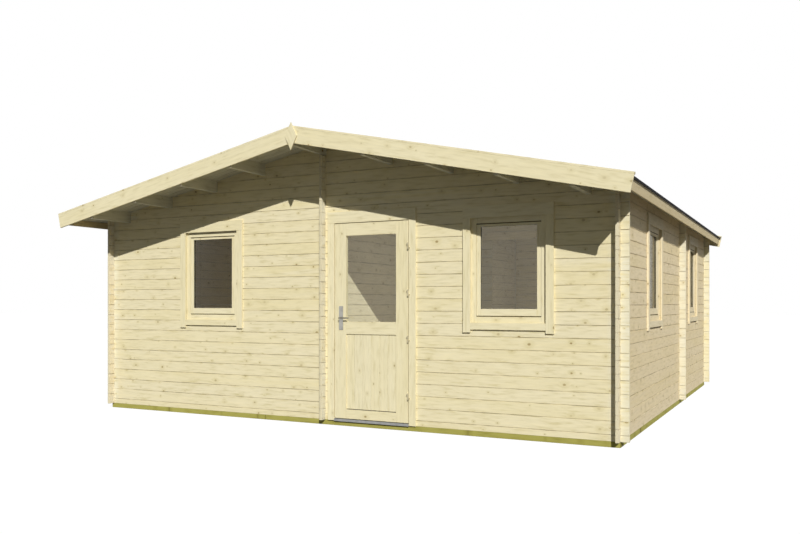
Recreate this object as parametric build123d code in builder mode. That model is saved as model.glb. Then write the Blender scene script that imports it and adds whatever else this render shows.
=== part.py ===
"""Log cabin with a low gabled roof, built from notched wall logs.

Millimetres, +Z up, front towards -Y. The origin is on the ground, under the middle of the
cabin's whole outline. Every wall log is a separate solid that crosses its neighbours in a
half-height notch; the front, rear and cross walls start with a half-height log, so their
courses lie half a course above those of the side walls and of the long partition.
"""

import os
from math import ceil, cos, floor, radians, sin, tan

from build123d import *

os.makedirs("parts", exist_ok=True)

# ------------------------------------------------------------------ driving sizes
cabin_width = 5810.0  # over the outer faces of the side walls
cabin_length = 5810.0  # over the outer faces of the front and rear walls
fit_gap = 0.3  # play between pieces that are fitted together
moving_gap = 7.0  # clearance round the door leaf
overcut = 1.0  # how far a cutting block runs past a face

# wall logs
log_thickness = 28.0
log_cover = 114.0  # height that one log adds to its wall
log_bevel = 6.0  # along both upper edges
log_stub = 73.0  # how far a log runs past the wall that it crosses
side_courses = 18  # whole logs in a side wall
smallest_offcut = 30000.0  # in cubic millimetres; less than that is trimmed away
eaves_log_height = 81.0  # outer height of the planed log on top of a side wall

# base and floor
beam_height = 50.0
beam_width = 70.0
floor_thickness = 19.0
joist_width = 45.0
joist_pitch = 600.0

# roof
roof_pitch = 12.0  # degrees
eaves_overhang = 176.0  # of the roof boards
front_overhang = 570.0
rear_overhang = 200.0
roof_board_thickness = 20.0
roofing_thickness = 8.0
roofing_reach = 18.0  # of the roofing past the fascia
roofing_drip = 5.0  # depth of the roofing turned down at the eaves
purlin_width = 44.0
purlin_depth = 118.5  # at the edge that faces the ridge
purlin_rows = 4  # on each side of the ridge
purlin_first = 745.0  # from the ridge to the first row
purlin_last = 248.0  # from the last row to the side wall's middle plane
fascia_thickness = 18.0
fascia_drop = 68.0  # below the roof boards
barge_thickness = 20.0
barge_drop = 99.0  # below the underside of the roof boards
barge_rise = 43.0  # above it
cap_thickness = 18.0
cap_width = 44.0
diamond_thickness = 12.0
diamond_height = 265.0
diamond_width = 132.0
diamond_rise = 30.0  # of its top point above the caps

# door
door_offset = 131.0  # of the leaf's free edge from the middle plane
leaf_width = 808.0
leaf_height = 1910.0
leaf_thickness = 40.0
leaf_floor_gap = 6.0
leaf_lip = 14.0  # of the leaf's frame in front of its glass and panel
leaf_proud = 14.0  # leaf's face in front of the wall
stile_width = 129.0
door_top_rail = 121.0
door_mid_rail = 123.0
door_bottom_rail = 90.0
door_glass_height = 839.0
door_panel_thickness = 18.0
door_frame_width = 36.0
door_frame_depth = 64.0
door_stop_width = 16.0
threshold_drop = 5.0  # threshold's lip below the top of the beam
threshold_nose = 20.0  # in front of the wall
threshold_wall = 4.0
knuckle_radius = 7.0
knuckle_length = 32.0
hinge_arm_length = 14.0
hinge_arm_height = 13.0
hinge_arm_offset = 9.5  # of each arm from the hinge's joint, up or down
hinge_arm_inset = 1.0  # of both arms from the hinge's middle line
hinge_pin_radius = 4.0
hinge_pin_length = 22.0  # above the joint
hinge_pin_play = 2.0  # between the pin's end and the bottom of its bore
pin_clearance = 0.1
hinge_heights = (275.0, 817.0, 1251.0, 1694.0)  # of each hinge's joint above the beam

# door handle
handle_backset = 74.0  # from the leaf's free edge
handle_height = 1010.0  # above the beam
plate_width = 46.0
plate_height = 234.0
plate_thickness = 5.0
plate_corner = 8.0
lever_length = 112.0
lever_radius = 8.0
spindle_radius = 4.0
spindle_clearance = 1.0  # in the leaf
lever_reach = 56.0  # from the leaf's face to the lever's outer side

# windows
left_window_inset = 1467.0  # middle of the front's left window, from the left wall's face
right_window_inset = 986.0  # middle of the front's right window, from the right wall's face
front_window_inset = 1620.0  # middle of the right wall's first window, behind the front face
rear_window_inset = 1294.0  # middle of the side walls' rear windows, before the rear face
window_bottom = 969.0  # of the cut in the logs, above the beam
window_cut_height = 1026.0
window_cut_width = 720.0
window_frame_height = 962.0
window_frame_bar = 56.0
window_frame_sill = 63.0
window_frame_depth = 52.0
window_frame_recess = 12.0  # behind the wall's face
sash_gap = 2.0  # at the sides
sash_play = 4.0  # above and below
sash_stile = 38.0
sash_top_rail = 27.0
sash_bottom_rail = 67.0
sash_recess = 5.0  # behind the frame's face
sash_thickness = 34.0
sash_lip = 12.0  # of the sash in front of its pane
window_stop = 12.0  # of the frame behind the sash
glass_thickness = 6.0
glass_rebate = 9.0  # how far the glass reaches into its frame

# casings round the door and the windows
casing_width = 73.0
casing_thickness = 18.0
casing_head = 110.0
casing_lap = 9.0  # over the frame inside it
casing_sill = 62.0  # height of the board under a window
casing_drop = 27.5  # of the upright boards below the bottom board

# inside walls
rear_room_depth = 2452.0  # from the cross wall's rear face to the rear wall's outer face
inner_door_width = 760.0
inner_door_height = 1920.0
long_doorway_place = 880.0  # middle, before the cross wall
cross_doorway_place = 900.0  # middle, from the middle plane

# ------------------------------------------------------------------ derived places
half_width = cabin_width / 2
front_reach = front_overhang + diamond_thickness + fit_gap
rear_reach = rear_overhang + diamond_thickness + fit_gap
front_face = (front_reach - rear_reach - cabin_length) / 2
rear_face = front_face + cabin_length
half_log = log_thickness / 2
side_axis = half_width - half_log
front_axis = front_face + half_log
rear_axis = rear_face - half_log
cross_axis = rear_face - rear_room_depth - half_log
half_course = log_cover / 2
slope = tan(radians(roof_pitch))
slope_cos = cos(radians(roof_pitch))
slope_sin = sin(radians(roof_pitch))
apex = beam_height + side_courses * log_cover + eaves_log_height + half_width * slope
board_end = (half_width + eaves_overhang) / slope_cos
barge_front = front_face - front_overhang
barge_rear = rear_face + rear_overhang
roof_front = barge_front + barge_thickness + fit_gap
roof_rear = barge_rear - barge_thickness - fit_gap
floor_top = beam_height + floor_thickness
leaf_bottom = floor_top + leaf_floor_gap
leaf_top = leaf_bottom + leaf_height
door_middle = door_offset + leaf_width / 2
door_open_half = leaf_width / 2 + moving_gap + door_frame_width + fit_gap
door_courses = ceil((leaf_top + moving_gap + door_frame_width - beam_height - half_course) / log_cover)
door_cut_top = beam_height + half_course + door_courses * log_cover
door_left = door_middle - door_open_half
door_right = door_middle + door_open_half
leaf_face = front_face - leaf_proud
leaf_left = door_middle - leaf_width / 2
leaf_right = door_middle + leaf_width / 2
hinge_x = leaf_right + moving_gap / 2
hinge_y = front_face - casing_thickness - knuckle_radius - fit_gap
purlin_places = [
    purlin_first + row * (side_axis - purlin_last - purlin_first) / (purlin_rows - 1)
    for row in range(purlin_rows)
]


def roof_underside(across):
    """Height of the roof boards' underside at a distance from the middle plane."""
    return apex - slope * abs(across)


def purlin_bottom(across):
    """Height of a purlin's underside, by the place of its middle."""
    return roof_underside(abs(across) - purlin_width / 2 if across else purlin_width / 2) - purlin_depth


def write(builder, name):
    """Label a finished sub-part and write it as its own file."""
    builder.part.label = name
    export_step(builder.part, f"parts/{name}.step")


# ------------------------------------------------------------------ pieces used many times
def make_block(low, high):
    """A squared piece between two opposite corners."""
    with BuildPart() as block:
        with Locations(tuple((a + b) / 2 for a, b in zip(low, high))):
            Box(*(b - a for a, b in zip(low, high)))
    return block.part


def make_log(start, end, bottom, height, crossings, cuts, planes):
    """One log along X round the plane Y=0, notched from below at each crossing wall.

    Each cut is an opening as (start, end, bottom, top); each plane is one that the log's top
    is planed to.
    """
    top = bottom + height - fit_gap
    inner = half_log - log_bevel
    notch = log_thickness + 2 * fit_gap
    with BuildPart() as log:
        with BuildSketch(Plane.YZ.offset(start)):
            with BuildLine():
                Polyline(
                    (-half_log, bottom),
                    (half_log, bottom),
                    (half_log, top - log_bevel),
                    (inner, top),
                    (-inner, top),
                    (-half_log, top - log_bevel),
                    close=True,
                )
            make_face()
        extrude(amount=end - start)
        if crossings and height > half_course:
            with Locations(*[(place, 0, bottom) for place in crossings]):
                Box(notch, 2 * log_thickness, 2 * half_course, mode=Mode.SUBTRACT)
        for left, right, low, high in cuts:
            if low < top and high > bottom and left < end and right > start:
                with Locations(((left + right) / 2, 0, (low + high) / 2)):
                    Box(right - left, 2 * log_thickness, high - low, mode=Mode.SUBTRACT)
        for plane in planes:
            split(bisect_by=plane, keep=Keep.BOTTOM)
    return [piece for piece in log.part.solids() if piece.volume > smallest_offcut]


def roof_planes():
    """Both undersides of the roof, for logs that run across the cabin."""
    origin = (0, 0, apex - fit_gap)
    return [Plane(origin=origin, z_dir=(side * slope_sin, 0, slope_cos)) for side in (1, -1)]


def make_cross_logs(start, end, first, last, crossings, cuts):
    """Logs of a wall that runs across the cabin, from one course to another."""
    logs = []
    pockets = [
        (
            place - purlin_width / 2 - fit_gap,
            place + purlin_width / 2 + fit_gap,
            purlin_bottom(place) - fit_gap,
            apex,
        )
        for place in [0] + purlin_places + [-place for place in purlin_places]
    ]
    inside = half_width - log_thickness - fit_gap
    for course in range(first, last):
        whole = course > 0
        bottom = beam_height + (half_course + (course - 1) * log_cover if whole else 0)
        height = log_cover if whole else half_course
        log_start, log_end = start, end
        if bottom + half_course > roof_underside(half_width):
            log_start, log_end = max(start, -inside), min(end, inside)
        reach = (apex - bottom - log_bevel) / slope
        log_start, log_end = max(log_start, -reach), min(log_end, reach)
        places = [place for place in crossings if log_start < place < log_end]
        planes = roof_planes() if bottom + height > roof_underside(max(-start, end)) else []
        logs += make_log(log_start, log_end, bottom, height, places, cuts + pockets, planes)
    return logs


def make_side_logs(crossings, cuts):
    """Logs of a side wall, laid along X and planed to the roof on top."""
    start = front_face - log_stub
    end = rear_face + log_stub
    logs = []
    for course in range(side_courses + 1):
        bottom = beam_height + course * log_cover
        planes = []
        if course == side_courses:
            origin = (0, 0, roof_underside(side_axis) - fit_gap)
            planes = [Plane(origin=origin, z_dir=(0, -slope_sin, slope_cos))]
        logs += make_log(start, end, bottom, log_cover, crossings, cuts, planes)
    return logs


def make_slope_strip(low, high, end, front, rear):
    """A layer of the roof's right side between two heights above the boards' underside.

    It is cut plumb at the ridge and square at the eaves, `end` down the slope.
    """
    with BuildPart() as strip:
        with BuildSketch(slope_plane(rear)):
            with BuildLine():
                Polyline(
                    (ridge_cut(low), low),
                    (end, low),
                    (end, high),
                    (ridge_cut(high), high),
                    close=True,
                )
            make_face()
        extrude(amount=rear - front)
    return strip.part


def slope_plane(rear):
    """Sketch plane of the roof's right side: X down the slope, Y square to it, facing -Y."""
    return Plane(origin=(0, rear, apex), x_dir=(slope_cos, 0, -slope_sin), z_dir=(0, -1, 0))


def ridge_cut(height):
    """Where the plumb cut at the ridge is, in the roof's sketch plane."""
    return (fit_gap / 2 - height * slope_sin) / slope_cos


# ------------------------------------------------------------------ base and floor
beam_inset = half_width - beam_width
with BuildPart() as foundation_beams:
    for rear_edge in (front_face + beam_width, rear_face):
        add(make_block((-half_width, rear_edge - beam_width, 0), (half_width, rear_edge, beam_height)))
    beam_front = front_face + beam_width + fit_gap
    beam_rear = rear_face - beam_width - fit_gap
    for place in (-half_width + beam_width / 2, 0, half_width - beam_width / 2):
        add(
            make_block(
                (place - beam_width / 2, beam_front, 0),
                (place + beam_width / 2, beam_rear, beam_height),
            )
        )
    add(
        make_block(
            (beam_width / 2 + fit_gap, cross_axis - beam_width / 2, 0),
            (beam_inset - fit_gap, cross_axis + beam_width / 2, beam_height),
        )
    )
write(foundation_beams, "foundation_beams")

room_front = front_face + log_thickness + fit_gap
room_rear = rear_face - log_thickness - fit_gap
room_side = half_width - log_thickness - fit_gap
room_middle = half_log + fit_gap
cross_front = cross_axis - half_log - fit_gap
cross_rear = cross_axis + half_log + fit_gap

with BuildPart() as floor_joists:
    joist_count = floor((beam_rear - beam_front) / joist_pitch)
    joist_step = (beam_rear - beam_front) / (joist_count + 1)
    for number in range(1, joist_count + 1):
        place = beam_front + number * joist_step
        for side in (-1, 1):
            blocked = side > 0 and abs(place - cross_axis) < (beam_width + joist_width) / 2 + fit_gap
            if not blocked:
                ends = sorted((side * (beam_width / 2 + fit_gap), side * (beam_inset - fit_gap)))
                add(
                    make_block(
                        (ends[0], place - joist_width / 2, 0),
                        (ends[1], place + joist_width / 2, beam_height),
                    )
                )
write(floor_joists, "floor_joists")

floor_low = beam_height + fit_gap
long_doorway = cross_axis - half_log - long_doorway_place
half_doorway = inner_door_width / 2 - fit_gap
with BuildPart() as floor_boards:
    add(make_block((-room_side, room_front, floor_low), (-room_middle, room_rear, floor_top)))
    add(
        make_block(
            (-room_middle - overcut, long_doorway - half_doorway, floor_low),
            (room_middle - fit_gap, long_doorway + half_doorway, floor_top),
        )
    )
    add(make_block((room_middle, room_front, floor_low), (room_side, cross_front, floor_top)))
    add(
        make_block(
            (cross_doorway_place - half_doorway, cross_front - overcut, floor_low),
            (cross_doorway_place + half_doorway, cross_rear - fit_gap, floor_top),
        )
    )
    add(make_block((room_middle, cross_rear, floor_low), (room_side, room_rear, floor_top)))
write(floor_boards, "floor_boards")

# ------------------------------------------------------------------ walls
window_low = beam_height + window_bottom
window_high = window_low + window_cut_height


def window_cuts(places):
    """Cuts in a wall's logs for its windows."""
    half = window_cut_width / 2
    return [(place - half, place + half, window_low, window_high) for place in places]


cabin_crossings = (-side_axis, 0, side_axis)
wall_end = half_width + log_stub
gable_courses = floor((apex - beam_height - half_course - 2 * log_bevel) / log_cover) + 2
front_places = [left_window_inset - half_width, half_width - right_window_inset]
right_places = [front_face + front_window_inset, rear_face - rear_window_inset]
left_places = [rear_face - rear_window_inset]
front_cuts = window_cuts(front_places)

with BuildPart() as front_wall_left:
    with Locations((0, front_axis, 0)):
        add(make_cross_logs(-wall_end, door_left, 0, door_courses + 1, cabin_crossings, front_cuts))
write(front_wall_left, "front_wall_left")

with BuildPart() as front_wall_right:
    with Locations((0, front_axis, 0)):
        add(make_cross_logs(door_right, wall_end, 0, door_courses + 1, cabin_crossings, front_cuts))
write(front_wall_right, "front_wall_right")

with BuildPart() as front_gable:
    with Locations((0, front_axis, 0)):
        add(
            make_cross_logs(
                -wall_end, wall_end, door_courses + 1, gable_courses, cabin_crossings, []
            )
        )
write(front_gable, "front_gable")

with BuildPart() as rear_wall:
    with Locations((0, rear_axis, 0)):
        add(make_cross_logs(-wall_end, wall_end, 0, gable_courses, cabin_crossings, []))
write(rear_wall, "rear_wall")

with BuildPart() as right_wall:
    with Locations(Location((side_axis, 0, 0), (0, 0, 90))):
        add(make_side_logs((front_axis, cross_axis, rear_axis), window_cuts(right_places)))
write(right_wall, "right_wall")

with BuildPart() as plain_side:
    with Locations(Location((side_axis, 0, 0), (0, 0, 90))):
        add(make_side_logs((front_axis, rear_axis), window_cuts(left_places)))
with BuildPart() as left_wall:
    mirror(plain_side.part, about=Plane.YZ)
write(left_wall, "left_wall")

ridge_bottom = purlin_bottom(0)
long_courses = floor((ridge_bottom - beam_height) / log_cover)
long_door_top = beam_height + ceil(inner_door_height / log_cover) * log_cover
cross_door_top = (
    beam_height + half_course + ceil((inner_door_height - half_course) / log_cover) * log_cover
)
half_inner_door = inner_door_width / 2
long_cuts = [
    (long_doorway - half_inner_door, long_doorway + half_inner_door, beam_height - overcut, long_door_top)
]
with BuildPart() as partition_long:
    with Locations(Location((0, 0, 0), (0, 0, 90))):
        for course in range(long_courses):
            add(
                make_log(
                    front_face - log_stub,
                    rear_face + log_stub,
                    beam_height + course * log_cover,
                    log_cover,
                    (front_axis, rear_axis),
                    long_cuts,
                    [],
                )
            )
write(partition_long, "partition_long")

cross_cuts = [
    (
        cross_doorway_place - half_inner_door,
        cross_doorway_place + half_inner_door,
        beam_height - overcut,
        cross_door_top,
    )
]
with BuildPart() as partition_cross:
    with Locations((0, cross_axis, 0)):
        add(make_cross_logs(room_middle, wall_end, 0, gable_courses, (side_axis,), cross_cuts))
write(partition_cross, "partition_cross")

# ------------------------------------------------------------------ roof
with BuildPart() as purlins:
    for place in purlin_places + [-place for place in purlin_places]:
        inner = abs(place) - purlin_width / 2
        outer = abs(place) + purlin_width / 2
        side = 1 if place > 0 else -1
        with BuildSketch(Plane.XZ.offset(-roof_rear)):
            with BuildLine():
                Polyline(
                    (side * inner, purlin_bottom(place)),
                    (side * outer, purlin_bottom(place)),
                    (side * outer, roof_underside(outer) - fit_gap),
                    (side * inner, roof_underside(inner) - fit_gap),
                    close=True,
                )
            make_face()
        extrude(amount=roof_rear - roof_front)
    half_purlin = purlin_width / 2
    with BuildSketch(Plane.XZ.offset(-roof_rear)):
        with BuildLine():
            Polyline(
                (-half_purlin, ridge_bottom),
                (half_purlin, ridge_bottom),
                (half_purlin, roof_underside(half_purlin) - fit_gap),
                (0, apex - fit_gap),
                (-half_purlin, roof_underside(half_purlin) - fit_gap),
                close=True,
            )
        make_face()
    extrude(amount=roof_rear - roof_front)
write(purlins, "purlins")

with BuildPart() as roof_boards_right:
    add(make_slope_strip(0, roof_board_thickness, board_end, roof_front, roof_rear))
write(roof_boards_right, "roof_boards_right")

with BuildPart() as roof_boards_left:
    mirror(roof_boards_right.part, about=Plane.YZ)
write(roof_boards_left, "roof_boards_left")

fascia_end = board_end + fit_gap + fascia_thickness
with BuildPart() as fascia_right:
    with BuildSketch(slope_plane(roof_rear)):
        with BuildLine():
            Polyline(
                (board_end + fit_gap, -fascia_drop),
                (fascia_end, -fascia_drop),
                (fascia_end, roof_board_thickness),
                (board_end + fit_gap, roof_board_thickness),
                close=True,
            )
        make_face()
    extrude(amount=roof_rear - roof_front)
write(fascia_right, "fascia_right")

with BuildPart() as fascia_left:
    mirror(fascia_right.part, about=Plane.YZ)
write(fascia_left, "fascia_left")

roofing_low = roof_board_thickness + fit_gap
roofing_high = roofing_low + roofing_thickness
drip_inner = fascia_end + roofing_reach
drip_outer = drip_inner + roofing_thickness
with BuildPart() as roofing_right:
    with BuildSketch(slope_plane(roof_rear)):
        with BuildLine():
            Polyline(
                (ridge_cut(roofing_low), roofing_low),
                (drip_inner, roofing_low),
                (drip_inner, roofing_low - roofing_drip),
                (drip_outer, roofing_low - roofing_drip),
                (drip_outer, roofing_high),
                (ridge_cut(roofing_high), roofing_high),
                close=True,
            )
        make_face()
    extrude(amount=roof_rear - roof_front)
write(roofing_right, "roofing_right")

with BuildPart() as roofing_left:
    mirror(roofing_right.part, about=Plane.YZ)
write(roofing_left, "roofing_left")

barge_end = drip_inner
cap_low = barge_rise + fit_gap


def make_gable_trim(low, high, end, front, rear):
    """Both slopes of a board that follows the edge of the roof."""
    right = make_slope_strip(low, high, end, front, rear)
    return [right, right.mirror(Plane.YZ)]


with BuildPart() as bargeboards_front:
    add(
        make_gable_trim(
            -barge_drop, barge_rise, barge_end, barge_front, barge_front + barge_thickness
        )
    )
write(bargeboards_front, "bargeboards_front")

with BuildPart() as bargeboards_rear:
    add(
        make_gable_trim(
            -barge_drop, barge_rise, barge_end, barge_rear - barge_thickness, barge_rear
        )
    )
write(bargeboards_rear, "bargeboards_rear")

with BuildPart() as barge_caps:
    for front in (barge_front, barge_rear - cap_width):
        add(make_gable_trim(cap_low, cap_low + cap_thickness, barge_end, front, front + cap_width))
write(barge_caps, "barge_caps")

diamond_top = apex + (cap_low + cap_thickness) / slope_cos + diamond_rise
diamond_middle = diamond_top - diamond_height / 2
with BuildPart() as ridge_diamonds:
    for face in (barge_front - fit_gap, barge_rear + fit_gap + diamond_thickness):
        with BuildSketch(Plane.XZ.offset(-face)):
            with BuildLine():
                Polyline(
                    (0, diamond_middle - diamond_height / 2),
                    (diamond_width / 2, diamond_middle),
                    (0, diamond_middle + diamond_height / 2),
                    (-diamond_width / 2, diamond_middle),
                    close=True,
                )
            make_face()
        extrude(amount=diamond_thickness)
write(ridge_diamonds, "ridge_diamonds")

# ------------------------------------------------------------------ front door
door_gap_left = leaf_left - moving_gap
door_gap_right = leaf_right + moving_gap
door_gap_top = leaf_top + moving_gap
frame_left = door_left + fit_gap
frame_right = door_right - fit_gap
frame_top = door_gap_top + door_frame_width
stop_face = front_face - leaf_proud + leaf_thickness + moving_gap
frame_front = front_face + fit_gap

with BuildPart() as door_frame:
    for low, front, rear, lap in (
        (beam_height + fit_gap, frame_front, front_face + log_thickness, 0),
        (floor_top + fit_gap, stop_face, frame_front + door_frame_depth, door_stop_width),
    ):
        with BuildSketch(Plane.XZ.offset(-front)):
            with BuildLine():
                Polyline(
                    (frame_left, low),
                    (door_gap_left + lap, low),
                    (door_gap_left + lap, door_gap_top - lap),
                    (door_gap_right - lap, door_gap_top - lap),
                    (door_gap_right - lap, low),
                    (frame_right, low),
                    (frame_right, frame_top),
                    (frame_left, frame_top),
                    close=True,
                )
            make_face()
        extrude(amount=front - rear)
write(door_frame, "door_frame")

casing_front = front_face - casing_thickness
casing_back = front_face - fit_gap
with BuildPart() as door_casing:
    for left in (door_gap_left - casing_width, door_gap_right):
        add(
            make_block(
                (left, casing_front, beam_height),
                (left + casing_width, casing_back, door_gap_top - fit_gap),
            )
        )
    add(
        make_block(
            (door_gap_left - casing_width, casing_front, door_gap_top),
            (door_gap_right + casing_width, casing_back, door_gap_top + casing_head),
        )
    )
write(door_casing, "door_casing")

threshold_front = front_face - threshold_nose
threshold_rear = front_face + log_thickness
with BuildPart() as threshold:
    with BuildSketch(Plane.YZ.offset(door_gap_left + fit_gap)):
        with BuildLine():
            Polyline(
                (threshold_front, beam_height - threshold_drop),
                (threshold_front + threshold_wall, beam_height - threshold_drop),
                (threshold_front + threshold_wall, floor_top - threshold_wall),
                (threshold_rear - threshold_wall, floor_top - threshold_wall),
                (threshold_rear - threshold_wall, beam_height + fit_gap),
                (threshold_rear, beam_height + fit_gap),
                (threshold_rear, floor_top),
                (threshold_front, floor_top),
                close=True,
            )
        make_face()
    extrude(amount=door_gap_right - door_gap_left - 2 * fit_gap)
write(threshold, "threshold")


def make_frame(low, high, holes, depth, rebate, rebate_depth):
    """A flat frame in the XZ plane, with each hole widened to a rebate over part of its depth."""
    with BuildPart() as frame:
        add(make_block((low[0], depth[0], low[1]), (high[0], depth[1], high[1])))
        for hole_low, hole_high in holes:
            for grow, (front, rear) in ((0, depth), (rebate, rebate_depth)):
                add(
                    make_block(
                        (hole_low[0] - grow, front - overcut, hole_low[1] - grow),
                        (hole_high[0] + grow, rear + overcut, hole_high[1] + grow),
                    ),
                    mode=Mode.SUBTRACT,
                )
    return frame.part


leaf_back = leaf_face + leaf_thickness
spindle_x = leaf_left + handle_backset
spindle_z = beam_height + handle_height
spindle_hole = lever_radius + spindle_clearance
opening_left = leaf_left + stile_width
opening_right = leaf_right - stile_width
glass_high = leaf_top - door_top_rail
glass_low = glass_high - door_glass_height
panel_high = glass_low - door_mid_rail
panel_low = leaf_bottom + door_bottom_rail
leaf_seat = leaf_face + leaf_lip

with BuildPart() as door_leaf:
    add(
        make_frame(
            (leaf_left, leaf_bottom),
            (leaf_right, leaf_top),
            [
                ((opening_left, glass_low), (opening_right, glass_high)),
                ((opening_left, panel_low), (opening_right, panel_high)),
            ],
            (leaf_face, leaf_back),
            glass_rebate,
            (leaf_seat + overcut, leaf_back),
        )
    )
    with BuildSketch(Plane.XZ.offset(-leaf_face)):
        with Locations((spindle_x, spindle_z)):
            Circle(spindle_hole)
    extrude(amount=-leaf_thickness, mode=Mode.SUBTRACT)
write(door_leaf, "door_leaf")

rebate_face = leaf_seat + fit_gap
rebate_fit = glass_rebate - fit_gap
with BuildPart() as door_glass:
    add(
        make_block(
            (opening_left - rebate_fit, rebate_face, glass_low - rebate_fit),
            (opening_right + rebate_fit, rebate_face + glass_thickness, glass_high + rebate_fit),
        )
    )
write(door_glass, "door_glass")

with BuildPart() as door_panel:
    add(
        make_block(
            (opening_left - rebate_fit, rebate_face, panel_low - rebate_fit),
            (
                opening_right + rebate_fit,
                rebate_face + door_panel_thickness,
                panel_high + rebate_fit,
            ),
        )
    )
write(door_panel, "door_panel")

# hinges: the lower half of each, with its pin, stays on the casing; the upper half turns
arm_far = hinge_arm_inset + hinge_arm_length
arm_low = hinge_arm_offset
arm_high = arm_low + hinge_arm_height
with BuildPart() as hinge_pins:
    for height in hinge_heights:
        middle = beam_height + height
        add(
            make_block(
                (hinge_x + hinge_arm_inset, hinge_y - hinge_arm_inset, middle - arm_high),
                (hinge_x + arm_far, casing_front - fit_gap, middle - arm_low),
            )
        )
        with Locations((hinge_x, hinge_y, middle - fit_gap)):
            Cylinder(
                knuckle_radius, knuckle_length, align=(Align.CENTER, Align.CENTER, Align.MAX)
            )
            Cylinder(
                hinge_pin_radius,
                hinge_pin_length,
                align=(Align.CENTER, Align.CENTER, Align.MIN),
            )
write(hinge_pins, "hinge_pins")

with BuildPart() as hinge_knuckles:
    for height in hinge_heights:
        middle = beam_height + height
        with Locations((hinge_x, hinge_y, middle)):
            Cylinder(
                knuckle_radius, knuckle_length, align=(Align.CENTER, Align.CENTER, Align.MIN)
            )
        add(
            make_block(
                (hinge_x - arm_far, hinge_y - hinge_arm_inset, middle + arm_low),
                (hinge_x - hinge_arm_inset, leaf_face - fit_gap, middle + arm_high),
            )
        )
        with Locations((hinge_x, hinge_y, middle)):
            Cylinder(
                hinge_pin_radius + pin_clearance,
                hinge_pin_length + hinge_pin_play,
                align=(Align.CENTER, Align.CENTER, Align.MIN),
                mode=Mode.SUBTRACT,
            )
write(hinge_knuckles, "hinge_knuckles")

plate_faces = ((leaf_face - fit_gap, -1), (leaf_back + fit_gap, 1))
with BuildPart() as handle_plates:
    for face, outward in plate_faces:
        with BuildSketch(Plane.XZ.offset(-face)):
            with Locations((spindle_x, spindle_z)):
                RectangleRounded(plate_width, plate_height, plate_corner)
                Circle(lever_radius + pin_clearance, mode=Mode.SUBTRACT)
        extrude(amount=-outward * plate_thickness)
write(handle_plates, "handle_plates")

with BuildPart() as door_lever:
    for face, outward in plate_faces:
        arm_y = face + outward * (lever_reach - lever_radius)
        with BuildSketch(Plane.XZ.offset(-face)):
            with Locations((spindle_x, spindle_z)):
                Circle(lever_radius)
        extrude(amount=-outward * lever_reach)
        with BuildSketch(Plane.YZ.offset(spindle_x - lever_radius)):
            with Locations((arm_y, spindle_z)):
                Circle(lever_radius)
        extrude(amount=lever_length + lever_radius)
    with BuildSketch(Plane.XZ.offset(overcut - leaf_face)):
        with Locations((spindle_x, spindle_z)):
            Circle(spindle_radius)
    extrude(amount=-leaf_thickness - 2 * overcut)
write(door_lever, "door_lever")

# ------------------------------------------------------------------ windows
# Each is made round its own middle line, with Y=0 on the wall's outer face and -Y outwards.
frame_half = window_cut_width / 2 - fit_gap
frame_low = window_low + fit_gap
frame_high = frame_low + window_frame_height
sash_half = frame_half - window_frame_bar - sash_gap
sash_low = frame_low + window_frame_sill + sash_play
sash_high = frame_high - window_frame_bar - sash_play
pane_half = sash_half - sash_stile
pane_low = sash_low + sash_bottom_rail
pane_high = sash_high - sash_top_rail
sash_face = window_frame_recess + sash_recess
sash_back = sash_face + sash_thickness
pane_seat = sash_face + sash_lip


def make_window_casing():
    """Four boards over the joint between a window and its wall."""
    inner = frame_half - casing_lap
    outer = inner + casing_width
    sill_top = frame_low + casing_lap
    low = sill_top - casing_sill
    head = frame_high - casing_lap
    boards = [
        make_block((side[0], -casing_thickness, low - casing_drop), (side[1], -fit_gap, head))
        for side in ((-outer, -inner), (inner, outer))
    ]
    sill = make_block(
        (fit_gap - inner, -casing_thickness, low), (inner - fit_gap, -fit_gap, sill_top)
    )
    top = make_block(
        (-outer, -casing_thickness, head + fit_gap), (outer, -fit_gap, head + casing_head)
    )
    return boards + [sill, top]


def make_window_frame():
    """The fixed frame in the wall, with a stop behind the sash."""
    inner = frame_half - window_frame_bar - window_stop
    low = frame_low + window_frame_sill + window_stop
    high = frame_high - window_frame_bar - window_stop
    return make_frame(
        (-frame_half, frame_low),
        (frame_half, frame_high),
        [((-inner, low), (inner, high))],
        (window_frame_recess, window_frame_recess + window_frame_depth),
        window_stop,
        (window_frame_recess, sash_back + fit_gap - overcut),
    )


def make_window_sash():
    """The glazed sash, rebated from behind for its pane."""
    return make_frame(
        (-sash_half, sash_low),
        (sash_half, sash_high),
        [((-pane_half, pane_low), (pane_half, pane_high))],
        (sash_face, sash_back),
        glass_rebate,
        (pane_seat + overcut, sash_back),
    )


def make_window_pane():
    """The pane, seated in the sash's rebate."""
    face = pane_seat + fit_gap
    return make_block(
        (-pane_half - rebate_fit, face, pane_low - rebate_fit),
        (pane_half + rebate_fit, face + glass_thickness, pane_high + rebate_fit),
    )


window_sides = {
    "front": [Location((place, front_face, 0)) for place in front_places],
    "right": [Location((half_width, place, 0), (0, 0, 90)) for place in right_places],
    "left": [Location((-half_width, place, 0), (0, 0, -90)) for place in left_places],
}
for side, places in window_sides.items():
    with BuildPart() as window_casings:
        with Locations(places):
            add(make_window_casing())
    write(window_casings, f"{side}_window_casings")

    with BuildPart() as window_frames:
        with Locations(places):
            add(make_window_frame())
    write(window_frames, f"{side}_window_frames")

    with BuildPart() as window_sashes:
        with Locations(places):
            add(make_window_sash())
    write(window_sashes, f"{side}_window_sashes")

    with BuildPart() as window_panes:
        with Locations(places):
            add(make_window_pane())
    write(window_panes, f"{side}_window_panes")
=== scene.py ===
"""Looks of a log cabin: planed pine logs, felt roof, glazed door and windows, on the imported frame."""

import logging
import math
import random
from collections.abc import Iterable, Sequence
from dataclasses import dataclass
from enum import Enum

import bmesh
import bpy
from mathutils import Matrix, Vector


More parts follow.
